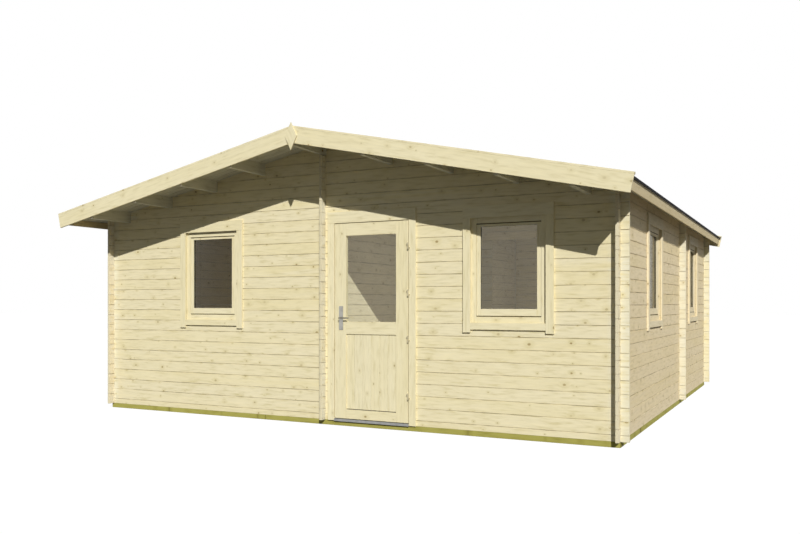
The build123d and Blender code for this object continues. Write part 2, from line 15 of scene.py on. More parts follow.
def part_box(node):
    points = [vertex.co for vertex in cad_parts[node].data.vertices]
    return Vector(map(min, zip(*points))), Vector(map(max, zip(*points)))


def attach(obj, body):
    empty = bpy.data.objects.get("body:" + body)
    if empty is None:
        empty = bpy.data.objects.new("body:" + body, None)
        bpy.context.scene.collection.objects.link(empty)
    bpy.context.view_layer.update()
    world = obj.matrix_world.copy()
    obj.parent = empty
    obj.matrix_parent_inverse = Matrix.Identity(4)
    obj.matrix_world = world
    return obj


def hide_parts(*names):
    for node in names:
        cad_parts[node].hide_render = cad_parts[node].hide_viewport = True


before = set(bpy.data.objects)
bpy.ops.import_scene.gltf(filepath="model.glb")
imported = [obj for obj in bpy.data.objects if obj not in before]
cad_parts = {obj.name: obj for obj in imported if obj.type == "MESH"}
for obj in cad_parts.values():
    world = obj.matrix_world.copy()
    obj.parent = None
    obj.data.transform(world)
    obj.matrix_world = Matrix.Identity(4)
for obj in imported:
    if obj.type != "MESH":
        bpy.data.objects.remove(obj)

log = logging.getLogger("cabin")

Colour = tuple[float, float, float, float]
Point = tuple[float, float]
Socket = bpy.types.NodeSocket
Outputs = bpy.types.NodeOutputs
Piece = bpy.types.Object
Vert = bmesh.types.BMVert
Edge = bmesh.types.BMEdge
Face = bmesh.types.BMFace

X, Y, Z = Vector((1, 0, 0)), Vector((0, 1, 0)), Vector((0, 0, 1))
HAIR = 0.0001  # room that keeps touching pieces apart
EASE = 0.0012  # how far the edges of logs and boards are rounded
WHITE: Colour = (1.0, 1.0, 1.0, 1.0)


def shade(*parts: int) -> Colour:
    """Turn a colour as it is seen into the linear one that a shader takes.

    Args:
        parts: its red, green and blue, 0 to 255.

    Returns:
        The linear colour with full cover.
    """
    shares = (part / 255 for part in parts)
    red, green, blue = (v / 12.92 if v <= 0.04045 else ((v + 0.055) / 1.055) ** 2.4 for v in shares)
    return red, green, blue, 1.0


class Body(Enum):
    """Moving bodies that a piece may ride on."""

    CABIN = "cabin"
    DOOR = "door"
    LEVER = "lever"


class Slot(Enum):
    """Material slots of the record, which the calls below name but do not set on any piece."""

    WALL = "wall_pine"
    INNER = "inner_pine"
    TRIM = "trim_pine"
    BASE = "impregnated_wood"
    FELT = "roofing_felt"
    HANDLE = "handle_metal"


# ---- shader trees
class Tree:
    """Short calls that fill a shader tree."""

    def __init__(self, tree: bpy.types.NodeTree) -> None:
        """Keep the tree that the calls add to."""
        self.tree = tree

    def add(self, kind: str, values: dict | None = None, **settings: object) -> bpy.types.Node:
        """Add one node.

        Args:
            kind: the node's type, where a leading ShaderNode is left out.
            values: input name or number to a value, or to a socket that feeds it.
            settings: the node's own properties.

        Returns:
            The new node.
        """
        node = self.tree.nodes.new(kind if kind.startswith("NodeGroup") else f"ShaderNode{kind}")
        for name, value in settings.items():
            setattr(node, name, value)
        for name, value in (values or {}).items():
            if isinstance(value, Socket):
                self.tree.links.new(value, node.inputs[name])
            else:
                node.inputs[name].default_value = value
        return node

    def math(self, operation: str, *values: object, clamp: bool = False) -> Socket:
        """Work out one number from numbers or sockets."""
        return self.add("Math", dict(enumerate(values)), operation=operation, use_clamp=clamp).outputs[0]

    def times(self, value: object, by: object) -> Socket:
        """Multiply two numbers."""
        return self.math("MULTIPLY", value, by)

    def scaled(self, value: object, by: object, plus: object) -> Socket:
        """Multiply two numbers and add a third."""
        return self.math("MULTIPLY_ADD", value, by, plus)

    def vector(self, operation: str, *values: object) -> Socket:
        """Work out one vector from vectors or sockets."""
        return self.add("VectorMath", dict(enumerate(values)), operation=operation).outputs["Vector"]

    def length(self, vector: object) -> Socket:
        """Measure a vector."""
        return self.add("VectorMath", {0: vector}, operation="LENGTH").outputs["Value"]

    def stretch(self, place: object, by: Sequence[float]) -> Socket:
        """Scale coordinates by a fixed amount along each axis."""
        return self.vector("MULTIPLY", place, by)

    def combine(self, *parts: object, kind: str = "XYZ") -> Socket:
        """Put a vector or a colour together."""
        return self.add(f"Combine{kind}", dict(enumerate(parts))).outputs[0]

    def parts(self, value: object, kind: str = "XYZ") -> Outputs:
        """Take a vector or a colour apart."""
        return self.add(f"Separate{kind}", {0: value}).outputs

    def ease(self, value: object, start: float, end: float, low: float = 0.0, high: float = 1.0) -> Socket:
        """Go smoothly from low to high while a value goes from start to end."""
        inputs = {"Value": value, "From Min": start, "From Max": end, "To Min": low, "To Max": high}
        return self.add("MapRange", inputs, interpolation_type="SMOOTHSTEP").outputs["Result"]

    def blend(self, share: object, first: object, second: object, mode: str = "MIX") -> Socket:
        """Blend a share of a second colour into a first."""
        return self.add("Mix", {0: share, 6: first, 7: second}, data_type="RGBA", blend_type=mode).outputs[2]

    def noise(self, place: object, detail: float = 2.0, scale: float = 1.0) -> Socket:
        """Make even noise round one half."""
        return self.add("TexNoise", {"Vector": place, "Scale": scale, "Detail": detail}).outputs["Fac"]

    def read(self, name: str, output: str = "Fac") -> Socket:
        """Read a mesh attribute by its name."""
        return self.add("Attribute", attribute_name=name).outputs[output]

    def here(self) -> Socket:
        """Give the place on the object."""
        return self.add("TexCoord").outputs["Object"]

    def bump(self, height: object, strength: float, distance: float) -> Socket:
        """Tilt the surface by a height."""
        return self.add("Bump", {"Height": height, "Strength": strength, "Distance": distance}).outputs[0]

    def shader(self, values: dict) -> Socket:
        """Add the main shader."""
        return self.add("BsdfPrincipled", values).outputs[0]

    def seen(self) -> Socket:
        """Tell whether the eye, a mirror or a pane looks.

        Returns:
            The mask's socket.
        """
        path = self.add("LightPath").outputs
        eye = self.math("MAXIMUM", path["Is Camera Ray"], path["Is Glossy Ray"])
        return self.math("MAXIMUM", eye, path["Is Transmission Ray"])


class Effect:
    """A surface effect held in one node group that all materials share."""

    name = ""
    inputs: dict[str, float | None] = {}  # a number, or None for a vector
    outputs: tuple[str, ...] = ()

    def draw(self, t: Tree, given: Outputs) -> dict[str, Socket]:
        """Fill the group and return a socket for each of its outputs."""
        raise NotImplementedError

    def group(self) -> bpy.types.NodeTree:
        """Make the group once, and give the same one after that.

        Returns:
            The group.
        """
        known = bpy.data.node_groups.get(self.name)
        if known:
            return known
        tree = bpy.data.node_groups.new(self.name, "ShaderNodeTree")
        for name, value in self.inputs.items():
            kind = "NodeSocketVector" if value is None else "NodeSocketFloat"
            socket = tree.interface.new_socket(name, in_out="INPUT", socket_type=kind)
            if value is not None:
                socket.default_value = value
        for name in self.outputs:
            tree.interface.new_socket(name, in_out="OUTPUT", socket_type="NodeSocketFloat")
        t = Tree(tree)
        t.add("NodeGroupOutput", self.draw(t, t.add("NodeGroupInput").outputs))
        return tree

    def place(self, t: Tree, **values: object) -> Outputs:
        """Place the group in a material, with its inputs in lower case."""
        named = {name.title(): value for name, value in values.items()}
        return t.add("Group", named, node_tree=self.group()).outputs


class Figure(Effect):
    """Growth bands, fibres and knots of a sawn board, along its own grain."""

    name = "pine figure"
    inputs = {"Lie": None, "Seed": 0.0, "Knots": 0.5, "Bands": 26.0}
    outputs = ("Band", "Fibre", "Knot", "Halo", "Drift", "Streak")
    shifts = (531.0, 173.0, 79.0)
    cell = (0.21, 0.095)
    knot_size = (0.0028, 0.0070)
    knot_length = 0.72
    knot_edge = 0.006
    knot_scatter = 0.95
    knot_fade = (1.6, 0.6)  # times its size, from none to full
    knot_strength = (0.75, 0.25)
    halo_fade = (6.0, 1.0)
    knot_rough = (90, 140, 90)
    band_bend = 0.016
    band_contrast = 2.2
    band_run = (0.75, 5.0, 5.0)
    fibre_run = (7.0, 330.0, 330.0)
    drift_run = (1.6, 6.0, 6.0)
    streak_run = (6.5, 48.0, 48.0)

    def draw(self, t: Tree, given: Outputs) -> dict[str, Socket]:
        """Draw knots round scattered points, and bands that bend past them.

        Args:
            t: the group's tree.
            given: the group's inputs.

        Returns:
            One socket for each of the group's outputs.
        """
        shift = t.combine(*(t.times(given["Seed"], by) for by in self.shifts))
        place = t.vector("ADD", given["Lie"], shift)
        long, wide = self.cell
        cells = t.stretch(place, (1 / long, 1 / wide, 0.0))
        points = {"Vector": cells, "Scale": 1.0, "Randomness": self.knot_scatter}
        knots = t.add("TexVoronoi", points, voronoi_dimensions="2D").outputs
        apart = t.stretch(t.vector("SUBTRACT", cells, knots["Position"]), (long * self.knot_length, wide, 0.0))
        rough = t.scaled(t.noise(t.stretch(place, self.knot_rough)), self.knot_edge, -self.knot_edge / 2)
        chance = t.parts(knots["Color"], "Color")
        there = t.math("LESS_THAN", chance[1], given["Knots"])
        least, spread = self.knot_size
        size = t.scaled(t.math("POWER", chance[0], 2.0), spread, least)
        ratio = t.math("DIVIDE", t.math("ADD", t.length(apart), rough), size)
        strong = t.times(there, t.scaled(t.math("POWER", chance[2], 2.0), *self.knot_strength))
        halo = t.times(t.ease(ratio, *self.halo_fade), there)
        bend = t.times(halo, self.band_bend)
        pushed = t.vector("ADD", place, t.combine(0.0, bend, bend))
        warp = t.noise(t.stretch(pushed, self.band_run), 1.5)
        rings = t.times(t.math("SINE", t.times(warp, t.times(given["Bands"], math.tau))), 0.5)
        return {
            "Band": t.math("POWER", t.math("ADD", rings, 0.5), self.band_contrast),
            "Fibre": t.noise(t.stretch(pushed, self.fibre_run)),
            "Knot": t.times(t.ease(ratio, *self.knot_fade), strong),
            "Halo": halo,
            "Drift": t.noise(t.stretch(place, self.drift_run)),
            "Streak": t.noise(t.stretch(pushed, self.streak_run), 3.0),
        }


class EndRings(Effect):
    """Year rings and cracks on the sawn end of a board."""

    name = "end rings"
    inputs = {"Lie": None, "Seed": 0.0, "Spacing": 0.0042}
    outputs = ("Ring", "Check")
    pith = ((0.06, -0.03), (-0.05, 0.06))  # across and deep: a factor of the board's number, and a start
    wobble = 0.005
    wobble_run = (1, 40, 40)
    crack_run = (1, 7, 7)
    crack = (0.485, 0.5, 0.515)

    def draw(self, t: Tree, given: Outputs) -> dict[str, Socket]:
        """Draw rings round a pith that lies off the board's middle.

        Args:
            t: the group's tree.
            given: the group's inputs.

        Returns:
            One socket for each of the group's outputs.
        """
        pith = t.combine(0.0, *(t.scaled(given["Seed"], by, plus) for by, plus in self.pith))
        apart = t.stretch(t.vector("SUBTRACT", given["Lie"], pith), (0.0, 1.0, 1.0))
        wobble = t.times(t.noise(t.stretch(given["Lie"], self.wobble_run)), self.wobble)
        far = t.math("ADD", t.length(apart), wobble)
        turns = t.math("DIVIDE", t.times(far, math.tau), given["Spacing"])
        cracks = t.noise(t.stretch(t.vector("NORMALIZE", apart), self.crack_run), 1.0)
        low, middle, high = self.crack
        check = t.times(t.ease(cracks, low, middle), t.ease(cracks, high, middle))
        return {"Ring": t.scaled(t.math("SINE", turns), 0.5, 0.5), "Check": check}


class PaintedJointShade(Effect):
    """A thin line of painted shade where boards meet, measured from a board's long edges, and how near a board's end
    is, for a painted cool tone there.
    """

    name = "painted joint shade"
    inputs = {"Lie": None, "Half": None, "End": 0.0, "Width": 0.003}
    outputs = ("Line", "Near")
    # how far from a board's end the painted cool tone reaches
    painted_cool_reach = (0.2, 0.11)
    ragged = (0.9, 0.55)
    ragged_run = (22, 60, 60)

    def draw(self, t: Tree, given: Outputs) -> dict[str, Socket]:
        """Fade a painted shade line out from the nearest long edge, and tell how near a board's end is.

        Args:
            t: the group's tree.
            given: the group's inputs.

        Returns:
            One socket for each of the group's outputs.
        """
        inside = t.parts(t.vector("SUBTRACT", given["Half"], t.vector("ABSOLUTE", given["Lie"])))
        gap = t.math("MAXIMUM", inside[1], t.times(inside[2], t.math("SUBTRACT", 1.0, given["End"])))
        ragged = t.scaled(t.noise(t.stretch(given["Lie"], self.ragged_run)), *self.ragged)
        filled = t.math("DIVIDE", gap, t.times(given["Width"], ragged))
        line = t.math("SUBTRACT", 1.0, filled, clamp=True)
        return {"Line": line, "Near": t.ease(inside[0], *self.painted_cool_reach)}


class Speckle(Effect):
    """Small grains pressed into a sheet."""

    name = "mineral grains"
    inputs = {"Place": None, "Size": 0.0016}
    outputs = ("Grain", "Tone", "Patch")
    grain_fade = (0.75, 0.1)
    patch = (3.0, 1.7)  # detail and scale

    def draw(self, t: Tree, given: Outputs) -> dict[str, Socket]:
        """Scatter grains of uneven tone, with slow patches over them.

        Args:
            t: the group's tree.
            given: the group's inputs.

        Returns:
            One socket for each of the group's outputs.
        """
        scaled = t.vector("DIVIDE", given["Place"], t.combine(*[given["Size"]] * 3))
        cells = t.add("TexVoronoi", {"Vector": scaled, "Scale": 1.0}).outputs
        patch = t.noise(given["Place"], *self.patch)
        tone = t.parts(cells["Color"], "Color")[0]
        return {"Grain": t.ease(cells["Distance"], *self.grain_fade), "Tone": tone, "Patch": patch}


class Brushing(Effect):
    """Fine draw lines and dull spots of handled metal."""

    name = "brushed metal"
    inputs = {"Place": None}
    outputs = ("Streak", "Dull")
    streak_run = (40, 40, 900)
    spots = (3.0, 22.0)  # detail and scale
    dull_fade = (0.4, 0.7)

    def draw(self, t: Tree, given: Outputs) -> dict[str, Socket]:
        """Draw streaks along the metal and soft spots over it."""
        streak = t.noise(t.stretch(given["Place"], self.streak_run))
        return {"Streak": streak, "Dull": t.ease(t.noise(given["Place"], *self.spots), *self.dull_fade)}


# ---- finishes
@dataclass(frozen=True)
class Finish:
    """A finish that is made into one material, shared by its pieces."""

    name: str

    def material(self) -> bpy.types.Material:
        """Make the material once, and give the same one after that.

        Returns:
            The material.
        """
        known = bpy.data.materials.get(self.name)
        if known:
            return known
        made = bpy.data.materials.new(self.name)
        made.use_nodes = True
        made.node_tree.nodes.clear()
        t = Tree(made.node_tree)
        t.add("OutputMaterial", {"Surface": self.surface(t)})
        return made

    def surface(self, t: Tree) -> Socket:
        """Fill the material's tree and return its shader's socket."""
        raise NotImplementedError


@dataclass(frozen=True)
class Pine(Finish):
    """Planed softwood with its bands, knots and end grain, painted shade where boards meet, and a painted cool tone at
    log ends.
    """

    face: Colour
    late: Colour
    end: Colour
    knot: Colour = shade(158, 134, 84)
    # colour of the painted shade in joints, on log bevels and in cracks
    joint_shade: Colour = shade(122, 104, 58)
    knots: float = 0.5
    joint_shade_width: float = 0.0026
    joint_shade_depth: float = 0.3
    groove_shade_depth: float = 0.35
    broken: Point = (0.1, 1.9)
    broken_range: Point = (0.3, 0.7)
    broken_run: float = 5.0
    band_share: float = 0.12
    fibre_share: float = 0.16
    streak_share: float = 0.85
    streak_range: Point = (0.5, 0.8)
    streak_light: float = 0.24
    halo_share: float = 0.5
    knot_share: float = 0.9
    ring_share: float = 0.3
    crack_share: float = 0.6
    light: float = 1.06
    spread: float = 0.08
    tone_scatter: float = 977.0
    joint_scatter: float = 211.0
    roughness: float = 0.7
    relief: Point = (0.25, 0.0008)  # the bump's strength and its depth
    # a paler, cooler tone painted on log ends, offsetting the warm light bounced onto corners and stubs
    painted_cool_end: Colour | None = None
    painted_cool_share: float = 0.5
    painted_cool_from: float = 2.55
    painted_cool_edge: float = 0.1

    def surface(self, t: Tree) -> Socket:
        """Lay tone, bands, knots, end grain and painted joint shade over each other.

        Args:
            t: the material's tree.

        Returns:
            The shader's socket.
        """
        lie, seed, end = t.read("lie", "Vector"), t.read("seed"), t.read("end")
        figure = Figure().place(t, lie=lie, seed=seed, knots=self.knots)
        line = PaintedJointShade().place(t, lie=lie, half=t.read("half", "Vector"), end=end, width=self.joint_shade_width)
        share = t.scaled(figure["Band"], self.band_share, t.times(figure["Fibre"], self.fibre_share))
        wood = t.blend(share, self.face, self.late)
        # painted cool tone near log ends, against warm bounced light
        if self.painted_cool_end:
            wood = t.blend(t.times(line["Near"], self.corner(t)), wood, self.painted_cool_end)
        wood = self.toned(t, wood, figure, seed)
        wood = t.blend(t.times(figure["Halo"], self.halo_share), wood, self.late)
        wood = t.blend(t.times(figure["Knot"], self.knot_share), wood, self.knot)
        wood = t.blend(end, wood, self.cut(t, lie, seed))
        # painted shade along board edges and on the log bevels, which the sun would otherwise light
        wood = t.blend(self.groove_shade(t, lie, seed, end, line["Line"]), wood, self.joint_shade)
        height = t.math("ADD", t.times(figure["Fibre"], 0.5), t.times(figure["Band"], -0.5))
        height = t.math("ADD", height, t.times(figure["Knot"], 0.8))
        rough = t.math("ADD", t.scaled(figure["Band"], -0.1, self.roughness), t.times(end, 0.2))
        normal = t.bump(height, *self.relief)
        return t.shader({"Base Color": wood, "Roughness": rough, "Normal": normal, "Specular IOR Level": 0.12})

    def corner(self, t: Tree) -> Socket:
        """Tell how much painted cool tone a board's end takes, which it does at the cabin's corners.

        Args:
            t: the material's tree.

        Returns:
            The share of the painted cool colour.
        """
        place = t.parts(t.vector("ABSOLUTE", t.here()))
        start = self.painted_cool_from - self.painted_cool_edge
        return t.ease(t.math("MINIMUM", place[0], place[1]), start, self.painted_cool_from, 0.0, self.painted_cool_share)

    def toned(self, t: Tree, wood: Socket, figure: Outputs, seed: Socket) -> Socket:
        """Give each board its own tone, with drifts and streaks in it.

        Args:
            t: the material's tree.
            wood: the colour so far.
            figure: the board's figure.
            seed: the board's own number.

        Returns:
            The toned colour.
        """
        own = t.add("TexWhiteNoise", {"W": t.times(seed, self.tone_scatter)}, noise_dimensions="1D").outputs["Value"]
        wood = t.blend(t.times(figure["Drift"], own), wood, self.late)
        wood = t.blend(t.ease(figure["Streak"], *self.streak_range, 0.0, self.streak_share), wood, self.late)
        light = t.scaled(own, self.spread, self.light - self.spread / 2)
        light = t.math("ADD", light, t.scaled(figure["Streak"], -self.streak_light, self.streak_light / 2))
        return t.blend(1.0, wood, t.combine(light, light, light, kind="Color"), "MULTIPLY")

    def cut(self, t: Tree, lie: Socket, seed: Socket) -> Socket:
        """Colour the sawn end of a board.

        Args:
            t: the material's tree.
            lie: the place in the board.
            seed: the board's own number.

        Returns:
            The colour.
        """
        rings = EndRings().place(t, lie=lie, seed=seed)
        wood = t.blend(t.times(rings["Ring"], self.ring_share), self.end, self.late)
        # the cracks take the same painted shade colour as the joints
        return t.blend(t.times(rings["Check"], self.crack_share), wood, self.joint_shade)

    def groove_shade(self, t: Tree, lie: Socket, seed: Socket, end: Socket, line: Socket) -> Socket:
        """Tell how dark the painted shade line between boards is, which comes and goes along it.

        Args:
            t: the material's tree.
            lie: the place in the board.
            seed: the board's own number.
            end: 1 on a sawn end.
            line: 1 along the board's edges.

        Returns:
            The share of the painted joint shade colour.
        """
        apart = t.combine(0.0, t.times(seed, self.joint_scatter))
        shifted = t.vector("ADD", t.stretch(lie, (self.broken_run, 0.0, 0.0)), apart)
        depth = t.scaled(end, self.joint_shade_depth, self.joint_shade_depth)
        # painted shade on the edge lines and on the bevel faces
        dark = t.math("MAXIMUM", t.times(line, depth), t.times(t.read("groove_shade"), self.groove_shade_depth))
        return t.math("MULTIPLY", dark, t.ease(t.noise(shifted, 3.0), *self.broken_range, *self.broken), clamp=True)


@dataclass(frozen=True)
class Felt(Finish):
    """Bitumen roofing with mineral grains."""

    dark: Colour
    pale: Colour
    tone_share: float = 0.7
    patch_share: float = 0.25
    roughness: float = 0.8
    relief: Point = (0.5, 0.001)

    def surface(self, t: Tree) -> Socket:
        """Cover bitumen with uneven grains.

        Args:
            t: the material's tree.

        Returns:
            The shader's socket.
        """
        grains = Speckle().place(t, place=t.here())
        tone = t.times(t.math("POWER", grains["Tone"], 3.0), self.tone_share)
        colour = t.blend(t.scaled(grains["Patch"], self.patch_share, tone), self.dark, self.pale)
        normal = t.bump(grains["Grain"], *self.relief)
        rough = t.scaled(grains["Grain"], 0.12, self.roughness)
        return t.shader({"Base Color": colour, "Roughness": rough, "Normal": normal, "Specular IOR Level": 0.15})


@dataclass(frozen=True)
class Metal(Finish):
    """Bare or plated metal with draw lines."""

    colour: Colour
    dull: Colour
    roughness: float
    uneven: float = 0.07
    dull_share: float = 0.5
    dull_rough: float = 0.1
    relief: Point = (0.1, 0.0002)

    def surface(self, t: Tree) -> Socket:
        """Vary gloss and tone by streaks and dull spots.

        Args:
            t: the material's tree.

        Returns:
            The shader's socket.
        """
        marks = Brushing().place(t, place=t.here())
        colour = t.blend(t.times(marks["Dull"], self.dull_share), self.colour, self.dull)
        streaked = t.scaled(marks["Streak"], 2 * self.uneven, self.roughness - self.uneven)
        rough = t.math("ADD", streaked, t.times(marks["Dull"], self.dull_rough))
        normal = t.bump(marks["Streak"], *self.relief)
        return t.shader({"Base Color": colour, "Roughness": rough, "Normal": normal, "Metallic": 1.0})


@dataclass(frozen=True)
class Rubber(Finish):
    """Dull sealing strip with a little dust on it; dark strips of it also stand in for shade in gaps."""

    colour: Colour
    worn: Colour
    dust: Point = (3.0, 60.0)  # detail and scale
    dust_range: Point = (0.35, 0.75)
    roughness: float = 0.7
    relief: Point = (0.15, 0.0003)

    def surface(self, t: Tree) -> Socket:
        """Dust the strip unevenly.

        Args:
            t: the material's tree.

        Returns:
            The shader's socket.
        """
        dust = t.ease(t.noise(t.here(), *self.dust), *self.dust_range)
        colour, rough = t.blend(dust, self.colour, self.worn), t.scaled(dust, 0.15, self.roughness)
        normal = t.bump(dust, *self.relief)
        return t.shader({"Base Color": colour, "Roughness": rough, "Normal": normal, "Specular IOR Level": 0.2})


@dataclass(frozen=True)
class Pane(Finish):
    """Window glass that lets the sun in, and mirrors less where it is more open."""

    tint: Colour
    open_shares: Point  # on the cabin's left and on its right
    change: Point = (-0.8, 0.0)
    index: float = 1.5
    gloss: float = 0.05
    film: float = 0.012
    film_noise: Point = (3.0, 9.0)  # detail and scale
    film_range: Point = (0.35, 0.8)

    def surface(self, t: Tree) -> Socket:
        """Clear glass to the eye, and an open pane to the lamps.

        Args:
            t: the material's tree.

        Returns:
            The shader's socket.
        """
        place = t.here()
        rough = t.times(t.ease(t.noise(place, *self.film_noise), *self.film_range), self.film)
        values = {"Base Color": self.tint, "Roughness": rough, "IOR": self.index}
        glass = t.shader(values | {"Transmission Weight": 1.0, "Specular IOR Level": self.gloss})
        clear = t.add("BsdfTransparent", {"Color": self.tint}).outputs[0]
        path = t.add("LightPath").outputs
        lamps = t.math("MAXIMUM", path["Is Shadow Ray"], path["Is Diffuse Ray"])
        through = t.math("MAXIMUM", lamps, t.ease(t.parts(place)[0], *self.change, *self.open_shares))
        return t.add("MixShader", {0: through, 1: glass, 2: clear}).outputs[0]


@dataclass(frozen=True)
class PaleFloor(Finish):
    """Studio floor that is white to the eye and keeps the object's shadow."""

    tone: Colour = (0.12, 0.12, 0.12, 1.0)
    glow: float = 0.92

    def surface(self, t: Tree) -> Socket:
        """Glow where the eye, a mirror or a pane looks.

        Args:
            t: the material's tree.

        Returns:
            The shader's socket.
        """
        glow = t.times(t.seen(), self.glow)
        values = {"Base Color": self.tone, "Roughness": 0.9, "Specular IOR Level": 0.0}
        return t.shader(values | {"Emission Color": WHITE, "Emission Strength": glow})


# paler, cooler end tone, painted against the warm light bounced onto log ends
PAINTED_COOL_END = shade(219, 219, 206)
PLANED = {"knots": 0.35, "joint_shade_width": 0.0014}
WALL_PINE = Pine("wall pine", shade(235, 224, 189), shade(217, 203, 152), shade(232, 222, 190), painted_cool_end=PAINTED_COOL_END)
# side walls and their trims: copies of the front's pine with the tone that light gives the sides painted in
SIDE_LIGHT_PINE = Pine("side wall pine in painted side light", shade(236, 219, 185), shade(218, 199, 150), shade(231, 221, 189), painted_cool_end=PAINTED_COOL_END)
SIDE_LIGHT_TRIM = Pine("side trim pine in painted side light", shade(234, 221, 190), shade(219, 203, 161), shade(231, 220, 190), **PLANED)
# greyer copy of pine for the roof's underside and purlins, painted with the neutral tone of the shade there
SHADE_SOFFIT_PINE = Pine("soffit pine in painted shade", shade(216, 212, 192), shade(197, 192, 166), shade(226, 216, 190), knots=0.3)
TRIM_PINE = Pine("trim pine", shade(234, 224, 189), shade(219, 206, 160), shade(234, 222, 186), **PLANED)
# inner logs take the painted cool tone at all their ends
INNER_PINE = Pine(
    "inner pine", shade(230, 220, 190), shade(212, 200, 162), shade(228, 217, 182),
    painted_cool_end=PAINTED_COOL_END, painted_cool_from=0.0,
)
# browner copy of trim pine, with the tone that light gives the fascias painted in
FASCIA_LIGHT_PINE = Pine("fascia pine in painted light", shade(228, 211, 173), shade(214, 195, 147), shade(228, 214, 178), **PLANED)
BASE_WOOD = Pine(
    "impregnated wood", shade(178, 172, 94), shade(148, 140, 66), shade(156, 148, 76),
    knot=shade(92, 78, 34), joint_shade=shade(70, 66, 30), joint_shade_depth=0.4, roughness=0.8,
)
ROOF_FELT = Felt("roofing felt", shade(13, 12, 11), shade(46, 45, 44))
THRESHOLD_METAL = Metal("threshold aluminium", shade(158, 158, 156), shade(126, 126, 122), 0.5)
HINGE_STEEL = Metal("hinge steel", shade(186, 176, 146), shade(150, 142, 116), 0.5)
HANDLE_METAL = Metal("handle metal", shade(176, 174, 166), shade(148, 145, 136), 0.35)
# darker copy of handle metal, with the dark reflections of the round lever painted in
LEVER_METAL_DARK_REFLECTION = Metal("lever metal with painted dark reflection", shade(142, 138, 126), shade(118, 114, 102), 0.35)
CLEAR_GLASS = Pane("window glass", shade(249, 250, 248), (0.88, 0.0))
SIDE_GLASS = Pane("side window glass", shade(249, 250, 248), (0.8, 0.8))
# also the dark strip in the door panel's foot gap, which paints the shade there
GASKET_AND_FOOT_SHADE = Rubber("glazing gasket and foot shade", shade(62, 58, 48), shade(44, 41, 34))
# dark strips in the sash gaps and over the sashes' tops, standing in for the shade there
SEAL_AS_GAP_SHADE = Rubber("gap shade seal", shade(92, 80, 40), shade(66, 56, 28))


# ---- mesh work
def edges_of(verts: Iterable[Vert]) -> list[Edge]:
    """Return the edges at some vertices, each once and always in the same order."""
    return list(dict.fromkeys(edge for vert in verts for edge in vert.link_edges))


def faces_of(verts: Iterable[Vert]) -> list[Face]:
    """Return the faces at some vertices, each once and always in the same order."""
    return list(dict.fromkeys(face for vert in verts for face in vert.link_faces))


